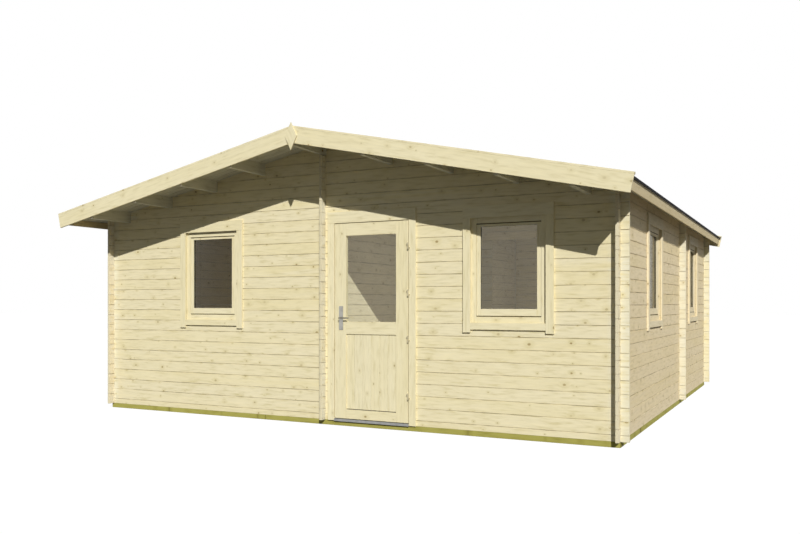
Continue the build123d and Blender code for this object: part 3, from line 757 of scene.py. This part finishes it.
class Carpentry:
    """A mesh in the making, whose boards keep their own grain, sizes and tone."""

    weld = 2e-5
    flat_angle = math.radians(0.3)
    eased_angle = math.radians(50)
    joint_step = 0.004
    joint_gap = 0.00005
    side_on = 0.1  # a face is a side below this share of the grain, and an end above the next
    end_on = 0.9
    slanted_on = 0.5  # a face is slanted between this share of the width and end_on
    groove_thickness = 0.018  # half of the thickest board whose slanted sides are grooves
    turned_sides = 20

    def __init__(self, name: str) -> None:
        """Start an empty mesh with the layers that the wood finishes read.

        Args:
            name: the piece's name, which also settles its random draws.
        """
        self.name = name
        self.chance = random.Random(name)
        self.work = bmesh.new()
        self.make_layers()

    def make_layers(self) -> None:
        """Add the layers for a board's grain and marks."""
        verts, faces = self.work.verts.layers, self.work.faces.layers
        self.lie, self.half = (
            verts.float_vector.get(name) or verts.float_vector.new(name) for name in ("lie", "half")
        )
        self.seed = verts.float.get("seed") or verts.float.new("seed")
        self.end, self.groove_shade = (faces.float.get(name) or faces.float.new(name) for name in ("end", "groove_shade"))

    def take(self, node: str) -> None:
        """Take over a CAD node's mesh, joined where its faces meet.

        Args:
            node: the node's name.
        """
        self.work.from_mesh(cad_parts[node].data)
        self.make_layers()
        bmesh.ops.remove_doubles(self.work, verts=self.work.verts, dist=self.weld)

    def copy_node(self, node: str, across: Vector | None = None) -> None:
        """Take over a CAD node's solids and find the grain of each.

        Args:
            node: the node's name.
            across: the way across its openings, where its corners have joints.
        """
        self.take(node)
        verts, edges = self.work.verts, self.work.edges
        bmesh.ops.dissolve_limit(self.work, angle_limit=self.flat_angle, verts=verts, edges=edges)
        if across:
            self.joint_corners(across)
        for board in self.boards():
            self.read_board(board)

    def boards(self) -> list[list[Vert]]:
        """Return the vertices of each separate solid.

        Returns:
            A list of vertices for each solid.
        """
        seen: set[Vert] = set()
        found = []
        for start in self.work.verts:
            if start in seen:
                continue
            seen.add(start)
            board, queue = [], [start]
            while queue:
                vert = queue.pop()
                board.append(vert)
                for edge in vert.link_edges:
                    other = edge.other_vert(vert)
                    if other not in seen:
                        seen.add(other)
                        queue.append(other)
            found.append(board)
        return found

    def joint_corners(self, side: Vector) -> None:
        """Part every ring or arch of timber into two uprights and the rails between them.

        Args:
            side: the way across the opening.
        """
        for ring in self.boards():
            places = [vert.co.dot(side) for vert in ring]
            centre = (min(places) + max(places)) / 2
            left = max(place for place in places if place < centre)
            right = min(place for place in places if place > centre)
            for place in (left + self.joint_step, right - self.joint_step):
                self.part(ring, side, place)

    def part(self, ring: list[Vert], side: Vector, place: float) -> None:
        """Saw a ring through, close the cuts and leave a hairline between them.

        Args:
            ring: its vertices.
            side: the way across the opening.
            place: where the saw goes, along that way.
        """
        wanted = {vert for vert in ring if vert.is_valid}
        verts = [vert for board in self.boards() if wanted.intersection(board) for vert in board]
        geometry = [*verts, *edges_of(verts), *faces_of(verts)]
        cut = bmesh.ops.bisect_plane(self.work, geom=geometry, plane_co=side * place, plane_no=side)["geom_cut"]
        lines = [item for item in cut if isinstance(item, Edge)]
        parted = bmesh.ops.split_edges(self.work, edges=lines)["edges"]
        rims = [edge for edge in dict.fromkeys([*lines, *parted]) if edge.is_valid and edge.is_boundary]
        bmesh.ops.holes_fill(self.work, edges=rims, sides=0)
        for vert in dict.fromkeys(vert for edge in rims for vert in edge.verts):
            reach = sum(edge.other_vert(vert).co.dot(side) - place for edge in vert.link_edges)
            vert.co += side * math.copysign(self.joint_gap, reach)

    def mark(self, vert: Vert, lie: Sequence[float], half: Vector, seed: float) -> None:
        """Write a vertex's place in its board, with the board's size and number."""
        vert[self.lie], vert[self.half], vert[self.seed] = Vector(lie), half, seed

    def read_board(self, board: list[Vert]) -> None:
        """Write the grain coordinates and marks of one solid.

        Args:
            board: its vertices.
        """
        faces = faces_of(board)
        longest = max(edges_of(board), key=lambda edge: edge.calc_length())
        along = (longest.verts[1].co - longest.verts[0].co).normalized()
        sides = [face for face in faces if abs(face.normal.dot(along)) < self.side_on]
        widest = max(sides, key=lambda face: face.calc_area())
        deep = (widest.normal - along * widest.normal.dot(along)).normalized()
        axes = [axis if max(axis, key=abs) > 0 else -axis for axis in (along, deep.cross(along), deep)]
        ranges = [(min(v.co.dot(axis) for v in board), max(v.co.dot(axis) for v in board)) for axis in axes]
        middle = [(low + high) / 2 for low, high in ranges]
        half = Vector([(high - low) / 2 for low, high in ranges])
        seed = self.chance.random()
        for vert in board:
            self.mark(vert, [vert.co.dot(axis) - centre for axis, centre in zip(axes, middle)], half, seed)
        for face in faces:
            face[self.end] = float(abs(face.normal.dot(axes[0])) > self.end_on)
            slanted = self.slanted_on < abs(face.normal.dot(axes[1])) < self.end_on
            # slanted sides of thin boards, the log bevels, are marked for painted shade
            face[self.groove_shade] = float(half.z < self.groove_thickness and slanted)

    def loft(self, rings: list[list[Vert]]) -> tuple[list[Face], list[Face]]:
        """Span faces between rings of vertices and close both ends.

        Args:
            rings: the rings, in their order.

        Returns:
            The faces round the sides, and the two end faces.
        """
        sides = []
        for near, far in zip(rings, rings[1:]):
            corners = zip(near, near[1:] + near[:1], far[1:] + far[:1], far)
            sides += [self.work.faces.new(corner) for corner in corners]
        return sides, [self.work.faces.new(ring) for ring in (rings[0][::-1], rings[-1])]

    def board(
        self,
        section: Sequence[Point],
        length: float,
        place: Matrix,
        dark: Sequence[int] = (),
        skew: Point = (0.0, 0.0),
    ) -> None:
        """Add one board with a fixed section.

        Args:
            section: its corners, as across and deep.
            length: how long it is, from the place's origin along its X.
            place: where it lies.
            dark: numbers of the section's sides that lie in a joint and take painted shade.
            skew: how far each end runs on for each metre of depth.
        """
        seed = self.chance.random()
        ranges = [(min(values), max(values)) for values in zip(*section)]
        middle = [(low + high) / 2 for low, high in ranges]
        half = Vector((length / 2, *((high - low) / 2 for low, high in ranges)))
        rings: list[list[Vert]] = [[], []]
        for ring, end, slant in zip(rings, (0.0, length), skew):
            for across, deep in section:
                along = end + deep * slant
                ring.append(self.work.verts.new(place @ Vector((along, across, deep))))
                self.mark(ring[-1], (along - length / 2, across - middle[0], deep - middle[1]), half, seed)
        sides, ends = self.loft(rings)
        for number, face in enumerate(sides):
            face[self.groove_shade] = float(number in dark)
        for face in ends:
            face[self.end] = 1.0

    def vee_board(
        self, wide: float, deep: Point, vee: float, gap: float, length: float, place: Matrix, skew: Point = (0.0, 0.0)
    ) -> None:
        """Add one board whose front edges are planed off.

        Args:
            wide: how wide it is, with the gap on each side.
            deep: where its back and its front are.
            vee: how far the edges are planed off.
            gap: room on each side.
            length: how long it is, from the place's origin along its X.
            place: where it lies.
            skew: how far each end runs on for each metre of depth.
        """
        back, front = deep
        section = [(gap, back), (wide - gap, back), (wide - gap, front - vee), (wide - vee, front)]
        section += [(vee, front), (gap, front - vee)]
        self.board(section, length, place, (2, 4), skew)

    def turned(self, centre: Vector, along: Vector, profile: Sequence[Point], flat: float = 1.0) -> None:
        """Turn a profile round an axis.

        Args:
            centre: a point on the axis.
            along: the way of the axis, X or Y.
            profile: places along the axis, with a radius at each.
            flat: how thin it is in depth for its height.
        """
        other = X if along == Y else Y
        angles = [math.tau * n / self.turned_sides for n in range(self.turned_sides)]
        rings = []
        for place, radius in profile:
            middle = centre + along * place
            rounds = [Z * radius * math.cos(a) + other * radius * flat * math.sin(a) for a in angles]
            rings.append([self.work.verts.new(middle + way) for way in rounds])
        self.loft(rings)

    def finish(
        self,
        finish: Finish,
        slot: Slot,
        body: Body,
        replaced: Sequence[str] = (),
        ease: float = 0.0,
        smooth: bool = False,
    ) -> Piece:
        """Turn the work into a piece.

        Args:
            finish: what it is finished with.
            slot: not used.
            body: what it moves with.
            replaced: CAD nodes that it stands for.
            ease: how far its edges are rounded.
            smooth: whether its faces shade smoothly.

        Returns:
            The piece.
        """
        bmesh.ops.recalc_face_normals(self.work, faces=self.work.faces)
        mesh = bpy.data.meshes.new(self.name)
        self.work.to_mesh(mesh)
        self.work.free()
        for polygon in mesh.polygons:
            polygon.use_smooth = smooth
        mesh.materials.clear()
        mesh.materials.append(finish.material())
        piece = placed(self.name, mesh)
        if ease:
            rounding = piece.modifiers.new("eased edges", "BEVEL")
            rounding.width, rounding.segments, rounding.limit_method = ease, 1, "ANGLE"
            rounding.angle_limit = self.eased_angle
        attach(piece, body.value)
        if replaced:
            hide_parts(*replaced)
        return piece


def placed(name: str, data: bpy.types.ID) -> Piece:
    """Put a new object into the scene.

    Args:
        name: its name.
        data: its mesh, lamp or camera.

    Returns:
        The object.
    """
    item = bpy.data.objects.new(name, data)
    bpy.context.collection.objects.link(item)
    return item


def lay(origin: Vector, along: Vector, across: Vector) -> Matrix:
    """Place a board's own axes.

    Args:
        origin: where its section's origin starts.
        along: the way that it runs.
        across: the way of its width.

    Returns:
        The matrix from the board's axes to the cabin's.
    """
    along, across = along.normalized(), across.normalized()
    matrix = Matrix((along, across, along.cross(across))).transposed().to_4x4()
    matrix.translation = origin
    return matrix


def solids(node: str) -> list[tuple[Vector, Vector]]:
    """Return the lowest and highest corners of each solid of a CAD node.

    Args:
        node: the node's name.

    Returns:
        A pair of corners for each solid.
    """
    found = Carpentry(node)
    found.take(node)
    boxes = []
    for board in found.boards():
        places = list(zip(*(vert.co for vert in board)))
        boxes.append((Vector(map(min, places)), Vector(map(max, places))))
    found.work.free()
    return boxes


def reach_along(low: Vector, high: Vector, way: Vector) -> tuple[float, float]:
    """Return where a box starts and ends along a way."""
    start, end = sorted((low.dot(way), high.dot(way)))
    return start, end


def squared(high: float, thick: float) -> list[Point]:
    """Return a plain section."""
    return [(0.0, 0.0), (high, 0.0), (high, thick), (0.0, thick)]


def copied(node: str, finish: Finish, slot: Slot, across: Vector | None = None) -> Piece:
    """Stand a copy with its own grain in a fixed CAD node's place.

    Args:
        node: the CAD node.
        finish: what it is finished with.
        slot: passed on, and not used.
        across: the way across its openings, where its corners have joints.

    Returns:
        The piece.
    """
    work = Carpentry(f"{node}_timber")
    work.copy_node(node, across)
    return work.finish(finish, slot, Body.CABIN, [node], EASE)


def dress(node: str, finish: Finish) -> None:
    """Give a CAD node that keeps its shape its finish.

    Args:
        node: the node's name.
        finish: what it is finished with.
    """
    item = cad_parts[node]
    item.data.materials.clear()
    item.data.materials.append(finish.material())


# ---- the cabin
@dataclass
class Walls:
    """Outer walls, gables and partitions of notched logs."""

    ends: tuple[str, ...] = ("front_wall_left", "front_wall_right", "front_gable", "rear_wall")
    sides: tuple[str, ...] = ("left_wall", "right_wall")
    inner: tuple[str, ...] = ("partition_long", "partition_cross")

    def build(self) -> Iterable[Piece]:
        """Copy the logs with their grain, walls first and partitions after.

        Returns:
            The pieces, one by one.
        """
        for nodes, finish, slot in (
            (self.ends, WALL_PINE, Slot.WALL),
            (self.sides, SIDE_LIGHT_PINE, Slot.WALL),
            (self.inner, INNER_PINE, Slot.INNER),
        ):
            for node in nodes:
                yield copied(node, finish, slot)


@dataclass
class Base:
    """Foundation beams, joists and floor boards."""

    board_width: float = 0.113
    vee: float = 0.003

    def build(self) -> Iterable[Piece]:
        """Copy the timbers and lay the floor in separate boards.

        Returns:
            The pieces, one by one.
        """
        yield copied("foundation_beams", BASE_WOOD, Slot.BASE)
        yield copied("floor_joists", BASE_WOOD, Slot.BASE)
        yield self.floor()

    def floor(self) -> Piece:
        """Lay each room's boards side by side.

        Returns:
            The piece.
        """
        work = Carpentry("floor_planks")
        for low, high in solids("floor_boards"):
            count = round((high.x - low.x) / self.board_width)
            wide = (high.x - low.x) / count
            for n in range(count):
                place = lay(Vector((low.x + (n + 1) * wide, low.y, high.z)), Y, -X)
                work.vee_board(wide, (low.z - high.z, 0), self.vee, 2 * HAIR, high.y - low.y, place)
        return work.finish(INNER_PINE, Slot.INNER, Body.CABIN, ["floor_boards"])


@dataclass
class Roof:
    """Boards, purlins, felt, fascias, bargeboards, caps and diamonds."""

    pitch: float = math.radians(12)
    board_thickness: float = 0.020
    board_width: float = 0.088
    vee: float = 0.004
    felt: float = 0.0024
    bed: float = 0.0046
    drip: float = 0.0045
    reach: float = 0.010
    fillet: Point = (0.06, 0.008)
    strip: float = 0.9
    ridge_strip: float = 0.17
    nail_gap: float = 0.1
    nail_size: float = 0.006
    nail_taper: float = 0.6
    nail_lift: float = 0.6
    nail_sides: int = 8
    nail_inset: float = 0.02

    def build(self) -> Iterable[Piece]:
        """Copy the timbers, then board and cover both slopes.

        Returns:
            The pieces, one by one.
        """
        yield copied("purlins", SHADE_SOFFIT_PINE, Slot.WALL)
        for node in ("fascia_left", "fascia_right"):
            yield copied(node, FASCIA_LIGHT_PINE, Slot.TRIM)
        for node in ("bargeboards_front", "bargeboards_rear", "barge_caps", "ridge_diamonds"):
            yield copied(node, TRIM_PINE, Slot.TRIM)
        for side, name in ((1, "right"), (-1, "left")):
            yield self.boards(side, name)
            yield self.covering(side, name)

    def down(self, side: int) -> Vector:
        """Return the way down a slope."""
        return Vector((side * math.cos(self.pitch), 0, -math.sin(self.pitch)))

    def boards(self, side: int, name: str) -> Piece:
        """Lay the boards of one side from the ridge to the eaves.

        Args:
            side: 1 for the right side, -1 for the left.
            name: the side's name.

        Returns:
            The piece.
        """
        work = Carpentry(f"roof_planks_{name}")
        low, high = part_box(f"roof_boards_{name}")
        ridge = Vector((2 * HAIR * side, low.y, high.z))
        tilt, thick = math.tan(self.pitch), self.board_thickness
        reach = (high.x if side > 0 else -low.x) / math.cos(self.pitch) - thick * tilt
        count = round((high.y - low.y) / self.board_width)
        wide = (high.y - low.y) / count
        for n in range(count):
            start = ridge + Y * (n * wide if side < 0 else (n + 1) * wide)
            place = lay(start, self.down(side), -Y * side)
            work.vee_board(wide, (0, thick), self.vee, HAIR, reach, place, skew=(-tilt, 0.0))
        return work.finish(SHADE_SOFFIT_PINE, Slot.TRIM, Body.CABIN, [f"roof_boards_{name}"])

    def covering(self, side: int, name: str) -> Piece:
        """Lay felt in lapped strips with a ridge strip and clout nails.

        Args:
            side: 1 for the right side, -1 for the left.
            name: the side's name.

        Returns:
            The piece.
        """
        work = Carpentry(f"roof_felt_{name}")
        low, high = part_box(f"roofing_{name}")
        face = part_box(f"fascia_{name}")[1 if side > 0 else 0].x * side
        end = face / math.cos(self.pitch) + self.reach
        laps = [self.ridge_strip, *(end - self.strip * n for n in range(int(end / self.strip), 0, -1))]
        down, out = self.down(side), Vector((side * math.sin(self.pitch), 0, math.cos(self.pitch)))
        crown = Vector((2 * HAIR * side, 0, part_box(f"roof_boards_{name}")[1].z + 2 * HAIR))
        profile = self.profile(laps, end)
        verts = work.work.verts
        work.loft([[verts.new(crown + down * u + out * w + Y * y) for u, w in profile] for y in (low.y, high.y)])
        upright = out.to_track_quat("Z", "Y").to_matrix().to_4x4()
        head, foot = self.nail_size * self.nail_taper, self.nail_size
        sizes = {"segments": self.nail_sides, "radius1": foot, "radius2": head, "depth": self.felt}
        for under in laps:
            row = crown + down * (under - self.nail_inset) + out * (self.bed + self.felt * self.nail_lift)
            for n in range(int((high.y - low.y) / self.nail_gap)):
                place = Matrix.Translation(row + Y * (low.y + (n + 0.5) * self.nail_gap))
                bmesh.ops.create_cone(work.work, cap_ends=True, matrix=place @ upright, **sizes)
        return work.finish(ROOF_FELT, Slot.FELT, Body.CABIN, [f"roofing_{name}"])

    def profile(self, laps: Sequence[float], end: float) -> list[Point]:
        """Return the felt's section from the ridge to the eaves and back over its laps.

        Args:
            laps: where each strip ends under the next, down the slope.
            end: where the felt ends.

        Returns:
            The corners, as down the slope and out of it.
        """
        under = [(0.0, 0.0), (end - self.bed, 0.0), (end - self.bed, -self.drip), (end, -self.drip)]
        crest = self.bed + self.felt
        top: list[Point] = []
        starts = [-self.bed * math.tan(self.pitch), *laps]
        for start, stop in zip(starts, (*laps, end)):
            top += [(start, self.bed), (stop, crest)]
        wide, tall = self.fillet
        top[-1:] = [(end - wide, crest), (end - wide / 2, crest + tall), (end, crest + tall)]
        return under + top[::-1]


class Wall(Enum):
    """Walls that hold windows, with the way that each faces."""

    FRONT = ("front", (0, -1, 0))
    LEFT = ("left", (-1, 0, 0))
    RIGHT = ("right", (1, 0, 0))

    @property
    def out(self) -> Vector:
        """The way that the wall faces."""
        return Vector(self.value[1])


@dataclass
class Windows:
    """Casings, frames, sashes, panes and gaskets of one wall, with dark seal strips that paint the shade in its sash
    gaps.
    """

    wall: Wall
    rebate: float = 0.009
    seal_low: float = 0.0092
    seal_high: float = 0.0095
    seal_gap: float = 0.004
    seal_proud: float = 0.0005

    def build(self) -> Iterable[Piece]:
        """Copy the joinery, glaze it and seal it.

        Returns:
            The pieces, one by one.
        """
        name = self.wall.value[0]
        front = self.wall is Wall.FRONT
        pine = TRIM_PINE if front else SIDE_LIGHT_TRIM
        yield copied(f"{name}_window_casings", pine, Slot.TRIM)
        for part in ("frames", "sashes"):
            yield copied(f"{name}_window_{part}", pine, Slot.TRIM, Z.cross(self.wall.out))
        dress(f"{name}_window_panes", CLEAR_GLASS if front else SIDE_GLASS)
        yield self.gaskets(name)
        yield self.seals(name)

    def gaskets(self, name: str) -> Piece:
        """Press a gasket into the rebate behind each pane.

        Args:
            name: the wall's name.

        Returns:
            The piece.
        """
        work = Carpentry(f"{name}_window_gaskets")
        back = min(corner.dot(self.wall.out) for box in solids(f"{name}_window_sashes") for corner in box)
        for low, high in solids(f"{name}_window_panes"):
            add_gaskets(work, low, high, -self.wall.out, self.rebate, -back)
        return work.finish(GASKET_AND_FOOT_SHADE, Slot.TRIM, Body.CABIN)

    def seals(self, name: str) -> Piece:
        """Lay a dark seal strip over and under each sash, as painted shade in the gap.

        Args:
            name: the wall's name.

        Returns:
            The piece.
        """
        work = Carpentry(f"{name}_window_seals")
        out, side = self.wall.out, Z.cross(self.wall.out)
        reach = self.seal_gap - 2 * HAIR
        for low, high in solids(f"{name}_window_sashes"):
            start, end = reach_along(low, high, side)
            face = out * (reach_along(low, high, out)[1] + self.seal_proud - self.seal_gap)
            # dark strips in the gaps under and over each sash, as painted shade
            for under, tall in ((low.z - reach, self.seal_low), (high.z + reach - self.seal_high, self.seal_high)):
                work.board(squared(tall, self.seal_gap), end - start, lay(face + side * start + Z * under, side, Z))
        return work.finish(SEAL_AS_GAP_SHADE, Slot.TRIM, Body.CABIN)


def add_gaskets(work: Carpentry, low: Vector, high: Vector, out: Vector, rebate: float, back: float) -> None:
    """Add four strips in the rebate behind a pane.

    Args:
        work: the mesh that they go into.
        low: the pane's lowest corner.
        high: its highest corner.
        out: the way from the pane into the rebate.
        rebate: how far the pane reaches behind its frame.
        back: where the frame's back is along that way.
    """
    side = Z.cross(out)
    start, end = reach_along(low, high, side)
    face = reach_along(low, high, out)[1] + HAIR
    section = squared(rebate - 3 * HAIR, back - face - 2 * HAIR)
    corner, far = out * face + side * start, out * face + side * end
    tall = high.z - low.z - 2 * rebate
    for origin, along, across, length in (
        (corner + Z * low.z, side, Z, end - start),
        (far + Z * high.z, -side, -Z, end - start),
        (far + Z * (low.z + rebate), Z, -side, tall),
        (corner + Z * (high.z - rebate), -Z, side, tall),
    ):
        work.board(section, length, lay(origin, along, across))


@dataclass
class Door:
    """The glazed door with its frame, casing, threshold, hinges and handle."""

    rebate: float = 0.0087
    panel_recess: float = 0.009
    panel_gap: float = 0.0015
    foot_gap: float = 0.006
    foot_shade_strip: float = 0.005
    foot_recess: float = 0.001
    tongue: float = 0.005
    panel_boards: int = 6
    vee: float = 0.0012
    ease: float = 0.001
    lever_stand: float = 0.034
    lever_flat: float = 0.7
    spindle: float = 0.00425
    neck: tuple[Point, ...] = ((0.004, 0.010625), (-0.004, 0.010625), (-0.007, 0.007225), (-0.034, 0.007225))
    grip: tuple[Point, ...] = (
        (-0.0085, 0.004675), (-0.00595, 0.008075), (0.0085, 0.0085), (0.03, 0.00765),
        (0.0721, 0.00663), (0.099, 0.00612), (0.103, 0.0034),
    )
    knob: tuple[Point, ...] = (
        (0.018, 0.00595), (0.022, 0.0168), (0.03, 0.021), (0.04, 0.01995), (0.046, 0.0126), (0.048, 0.002),
    )

    def build(self) -> Iterable[Piece]:
        """Build the leaf's members, then dress the rest.

        Returns:
            The pieces, one by one.
        """
        yield copied("door_casing", TRIM_PINE, Slot.TRIM)
        yield copied("door_frame", TRIM_PINE, Slot.TRIM, X)
        yield self.leaf()
        yield self.panel()
        yield self.gaskets()
        yield self.lever()
        dress("door_glass", CLEAR_GLASS)
        dress("threshold", THRESHOLD_METAL)
        dress("hinge_knuckles", HINGE_STEEL)
        dress("hinge_pins", HINGE_STEEL)
        dress("handle_plates", HANDLE_METAL)

    def leaf(self) -> Piece:
        """Join two stiles and three rails round the glass and the panel.

        Returns:
            The piece.
        """
        work = Carpentry("door_stiles_rails")
        low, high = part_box("door_leaf")
        (pane_low, pane_high), (panel_low, panel_high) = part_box("door_glass"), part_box("door_panel")
        rebate, gap, thick = self.rebate, 2 * HAIR, high.y - low.y
        stile = pane_low.x + rebate - low.x
        for across in (low.x, high.x - stile):
            place = lay(Vector((across + stile, high.y, low.z)), Z, -X)
            work.board(squared(stile, thick), high.z - low.z, place)
        long = high.x - low.x - 2 * (stile + gap)
        for under, over in (
            (low.z, panel_low.z + rebate),
            (pane_high.z - rebate, high.z),
            (panel_high.z - rebate, pane_low.z + rebate),
        ):
            work.board(squared(over - under, thick), long, lay(Vector((low.x + stile + gap, high.y, under)), X, Z))
        return work.finish(TRIM_PINE, Slot.TRIM, Body.DOOR, ["door_leaf"], self.ease)

    def panel(self) -> Piece:
        """Stand narrow boards between the lower rails.

        Returns:
            The piece.
        """
        work = Carpentry("door_panel_boards")
        low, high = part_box("door_panel")
        left, right = low.x + self.rebate, high.x - self.rebate
        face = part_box("door_leaf")[0].y + self.panel_recess
        under, over = low.z + self.rebate + self.panel_gap, high.z - self.rebate - self.panel_gap
        wide = (right - left) / self.panel_boards
        thick = high.y - face - self.tongue
        place = lay(Vector((low.x, high.y - self.tongue, under)), Z, X)
        work.board(squared(high.x - low.x, self.tongue), over - under, place)
        under += self.foot_gap
        for n in range(self.panel_boards):
            place = lay(Vector((left + (n + 1) * wide, face + thick, under)), Z, -X)
            work.vee_board(wide, (0, thick), self.vee, HAIR, over - under, place)
        return work.finish(TRIM_PINE, Slot.TRIM, Body.DOOR, ["door_panel"])

    def gaskets(self) -> Piece:
        """Press a gasket into the rebate behind the door's glass, and a dark strip under the panel as painted shade in
        its foot gap.

        Returns:
            The piece.
        """
        work = Carpentry("door_glass_gaskets")
        low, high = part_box("door_glass")
        add_gaskets(work, low, high, Y, self.rebate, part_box("door_leaf")[1].y)
        # a dark strip in the foot gap under the panel boards, standing in for the shade there
        low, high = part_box("door_panel")
        left, wide = low.x + self.rebate, high.x - low.x - 2 * self.rebate
        face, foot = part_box("door_leaf")[0].y + self.panel_recess, low.z + self.rebate + HAIR
        back = high.y - self.tongue - 2 * HAIR
        place = lay(Vector((left, back, foot)), X, Z)
        work.board(squared(self.foot_shade_strip, back - face - self.foot_recess), wide, place)
        return work.finish(GASKET_AND_FOOT_SHADE, Slot.TRIM, Body.DOOR)

    def lever(self) -> Piece:
        """Turn a lever with a round neck outside, and a knob inside.

        Returns:
            The piece.
        """
        work = Carpentry("lever_handle")
        low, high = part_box("door_lever")
        axis = Vector((low.x + (high.z - low.z) / 2, 0, (low.z + high.z) / 2))
        front, back = (corner.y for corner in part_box("handle_plates"))
        work.turned(axis, Y, [(front + place, radius) for place, radius in self.neck])
        work.turned(axis + Y * (front - self.lever_stand), X, self.grip, self.lever_flat)
        work.turned(axis, Y, [(front, self.spindle), *((back + place, radius) for place, radius in self.knob)])
        return work.finish(LEVER_METAL_DARK_REFLECTION, Slot.HANDLE, Body.LEVER, ["door_lever"], smooth=True)


# ---- studio
@dataclass
class Studio:
    """Pale floor, soft surroundings, one sun, a lamp in each room and the camera."""

    sun_way: tuple[float, float, float] = (0.6985, -1.0, 0.768)
    sun_power: float = 3.65
    sun_angle: float = math.radians(0.6)
    sky: float = 0.2
    sky_tone: Colour = (0.94, 0.99, 1.0, 1.0)
    floor_size: float = 160.0
    left_room_power: float = 4.6
    entrance_power: float = 8.5
    entrance_place: Point = (0.45, 0.32)
    rear_room_power: float = 6.0
    room_lamp_size: float = 0.5
    room_lamp_height: float = 1.3
    camera_across: float = 4.3198
    camera_before: float = 6.7668
    camera_height: float = 1.2014
    turn: float = 27.171
    lens: float = 36.118
    sensor: float = 36.0
    rise: float = 0.0457
    sight: float = 400.0

    def build(self) -> None:
        """Set up view, light and camera."""
        scene = bpy.context.scene
        scene.view_settings.view_transform = "Standard"
        self.world(scene)
        self.floor()
        self.sun()
        self.rooms()
        self.camera(scene)

    def world(self, scene: bpy.types.Scene) -> None:
        """White to the eye, and a plain soft light on the object.

        Args:
            scene: the scene that it surrounds.
        """
        scene.world = bpy.data.worlds.new("surroundings")
        scene.world.use_nodes = True
        scene.world.node_tree.nodes.clear()
        t = Tree(scene.world.node_tree)
        seen = t.seen()
        strength = t.ease(seen, 0.0, 1.0, self.sky, 1.0)
        back = t.add("Background", {"Color": t.blend(seen, self.sky_tone, WHITE), "Strength": strength})
        t.add("OutputWorld", {"Surface": back.outputs[0]})

    def floor(self) -> None:
        """Lay a pale floor that keeps the object's shadow."""
        half = self.floor_size / 2
        mesh = bpy.data.meshes.new("floor")
        mesh.from_pydata([(-half, -half, 0), (half, -half, 0), (half, half, 0), (-half, half, 0)], [], [(0, 1, 2, 3)])
        mesh.materials.append(PaleFloor("pale floor").material())
        placed("floor", mesh)

    def sun(self) -> None:
        """Hang one low sun in front of the cabin's right side."""
        lamp = bpy.data.lights.new("sun", "SUN")
        lamp.energy, lamp.angle = self.sun_power, self.sun_angle
        item = placed("sun", lamp)
        item.rotation_mode = "QUATERNION"
        item.rotation_quaternion = Vector(self.sun_way).to_track_quat("Z", "Y")

    def rooms(self) -> None:
        """Hang a soft lamp in each room, so that its walls show through the glass."""
        low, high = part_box("partition_long")
        left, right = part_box("left_wall")[1].x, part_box("right_wall")[0].x
        front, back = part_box("front_wall_left")[1].y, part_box("rear_wall")[0].y
        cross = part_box("partition_cross")
        across, along = self.entrance_place
        places = {
            "left": ((left + low.x) / 2, (front + back) / 2, self.left_room_power),
            "entrance": (
                high.x + (right - high.x) * across, front + (cross[0].y - front) * along, self.entrance_power
            ),
            "rear": ((high.x + right) / 2, (cross[1].y + back) / 2, self.rear_room_power),
        }
        for name, (*place, power) in places.items():
            lamp = bpy.data.lights.new(f"{name} room lamp", "POINT")
            lamp.energy, lamp.shadow_soft_size = power, self.room_lamp_size
            item = placed(lamp.name, lamp)
            item.location = (*place, self.room_lamp_height)
            item.visible_camera = item.visible_glossy = item.visible_transmission = False

    def camera(self, scene: bpy.types.Scene) -> None:
        """Stand the camera in front of the cabin's right corner.

        Args:
            scene: the scene that it looks at.
        """
        eye = bpy.data.cameras.new("camera")
        eye.lens, eye.sensor_width, eye.shift_y, eye.clip_end = self.lens, self.sensor, self.rise, self.sight
        item = placed("camera", eye)
        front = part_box("front_wall_left")[0].y
        item.location = (self.camera_across, front - self.camera_before, self.camera_height)
        item.rotation_euler = (math.radians(90), 0, math.radians(self.turn))
        scene.camera = item


def main() -> None:
    """Build the cabin's parts in order and report each piece."""
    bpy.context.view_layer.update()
    Studio().build()
    for assembly in (Base(), Walls(), Roof(), Door(), *(Windows(wall) for wall in Wall)):
        for piece in assembly.build():
            log.info("%s: %s, %d faces", type(assembly).__name__, piece.name, len(piece.data.polygons))


if __name__ == "__main__":
    logging.basicConfig(level=logging.INFO, format="%(name)s %(message)s")
    main()
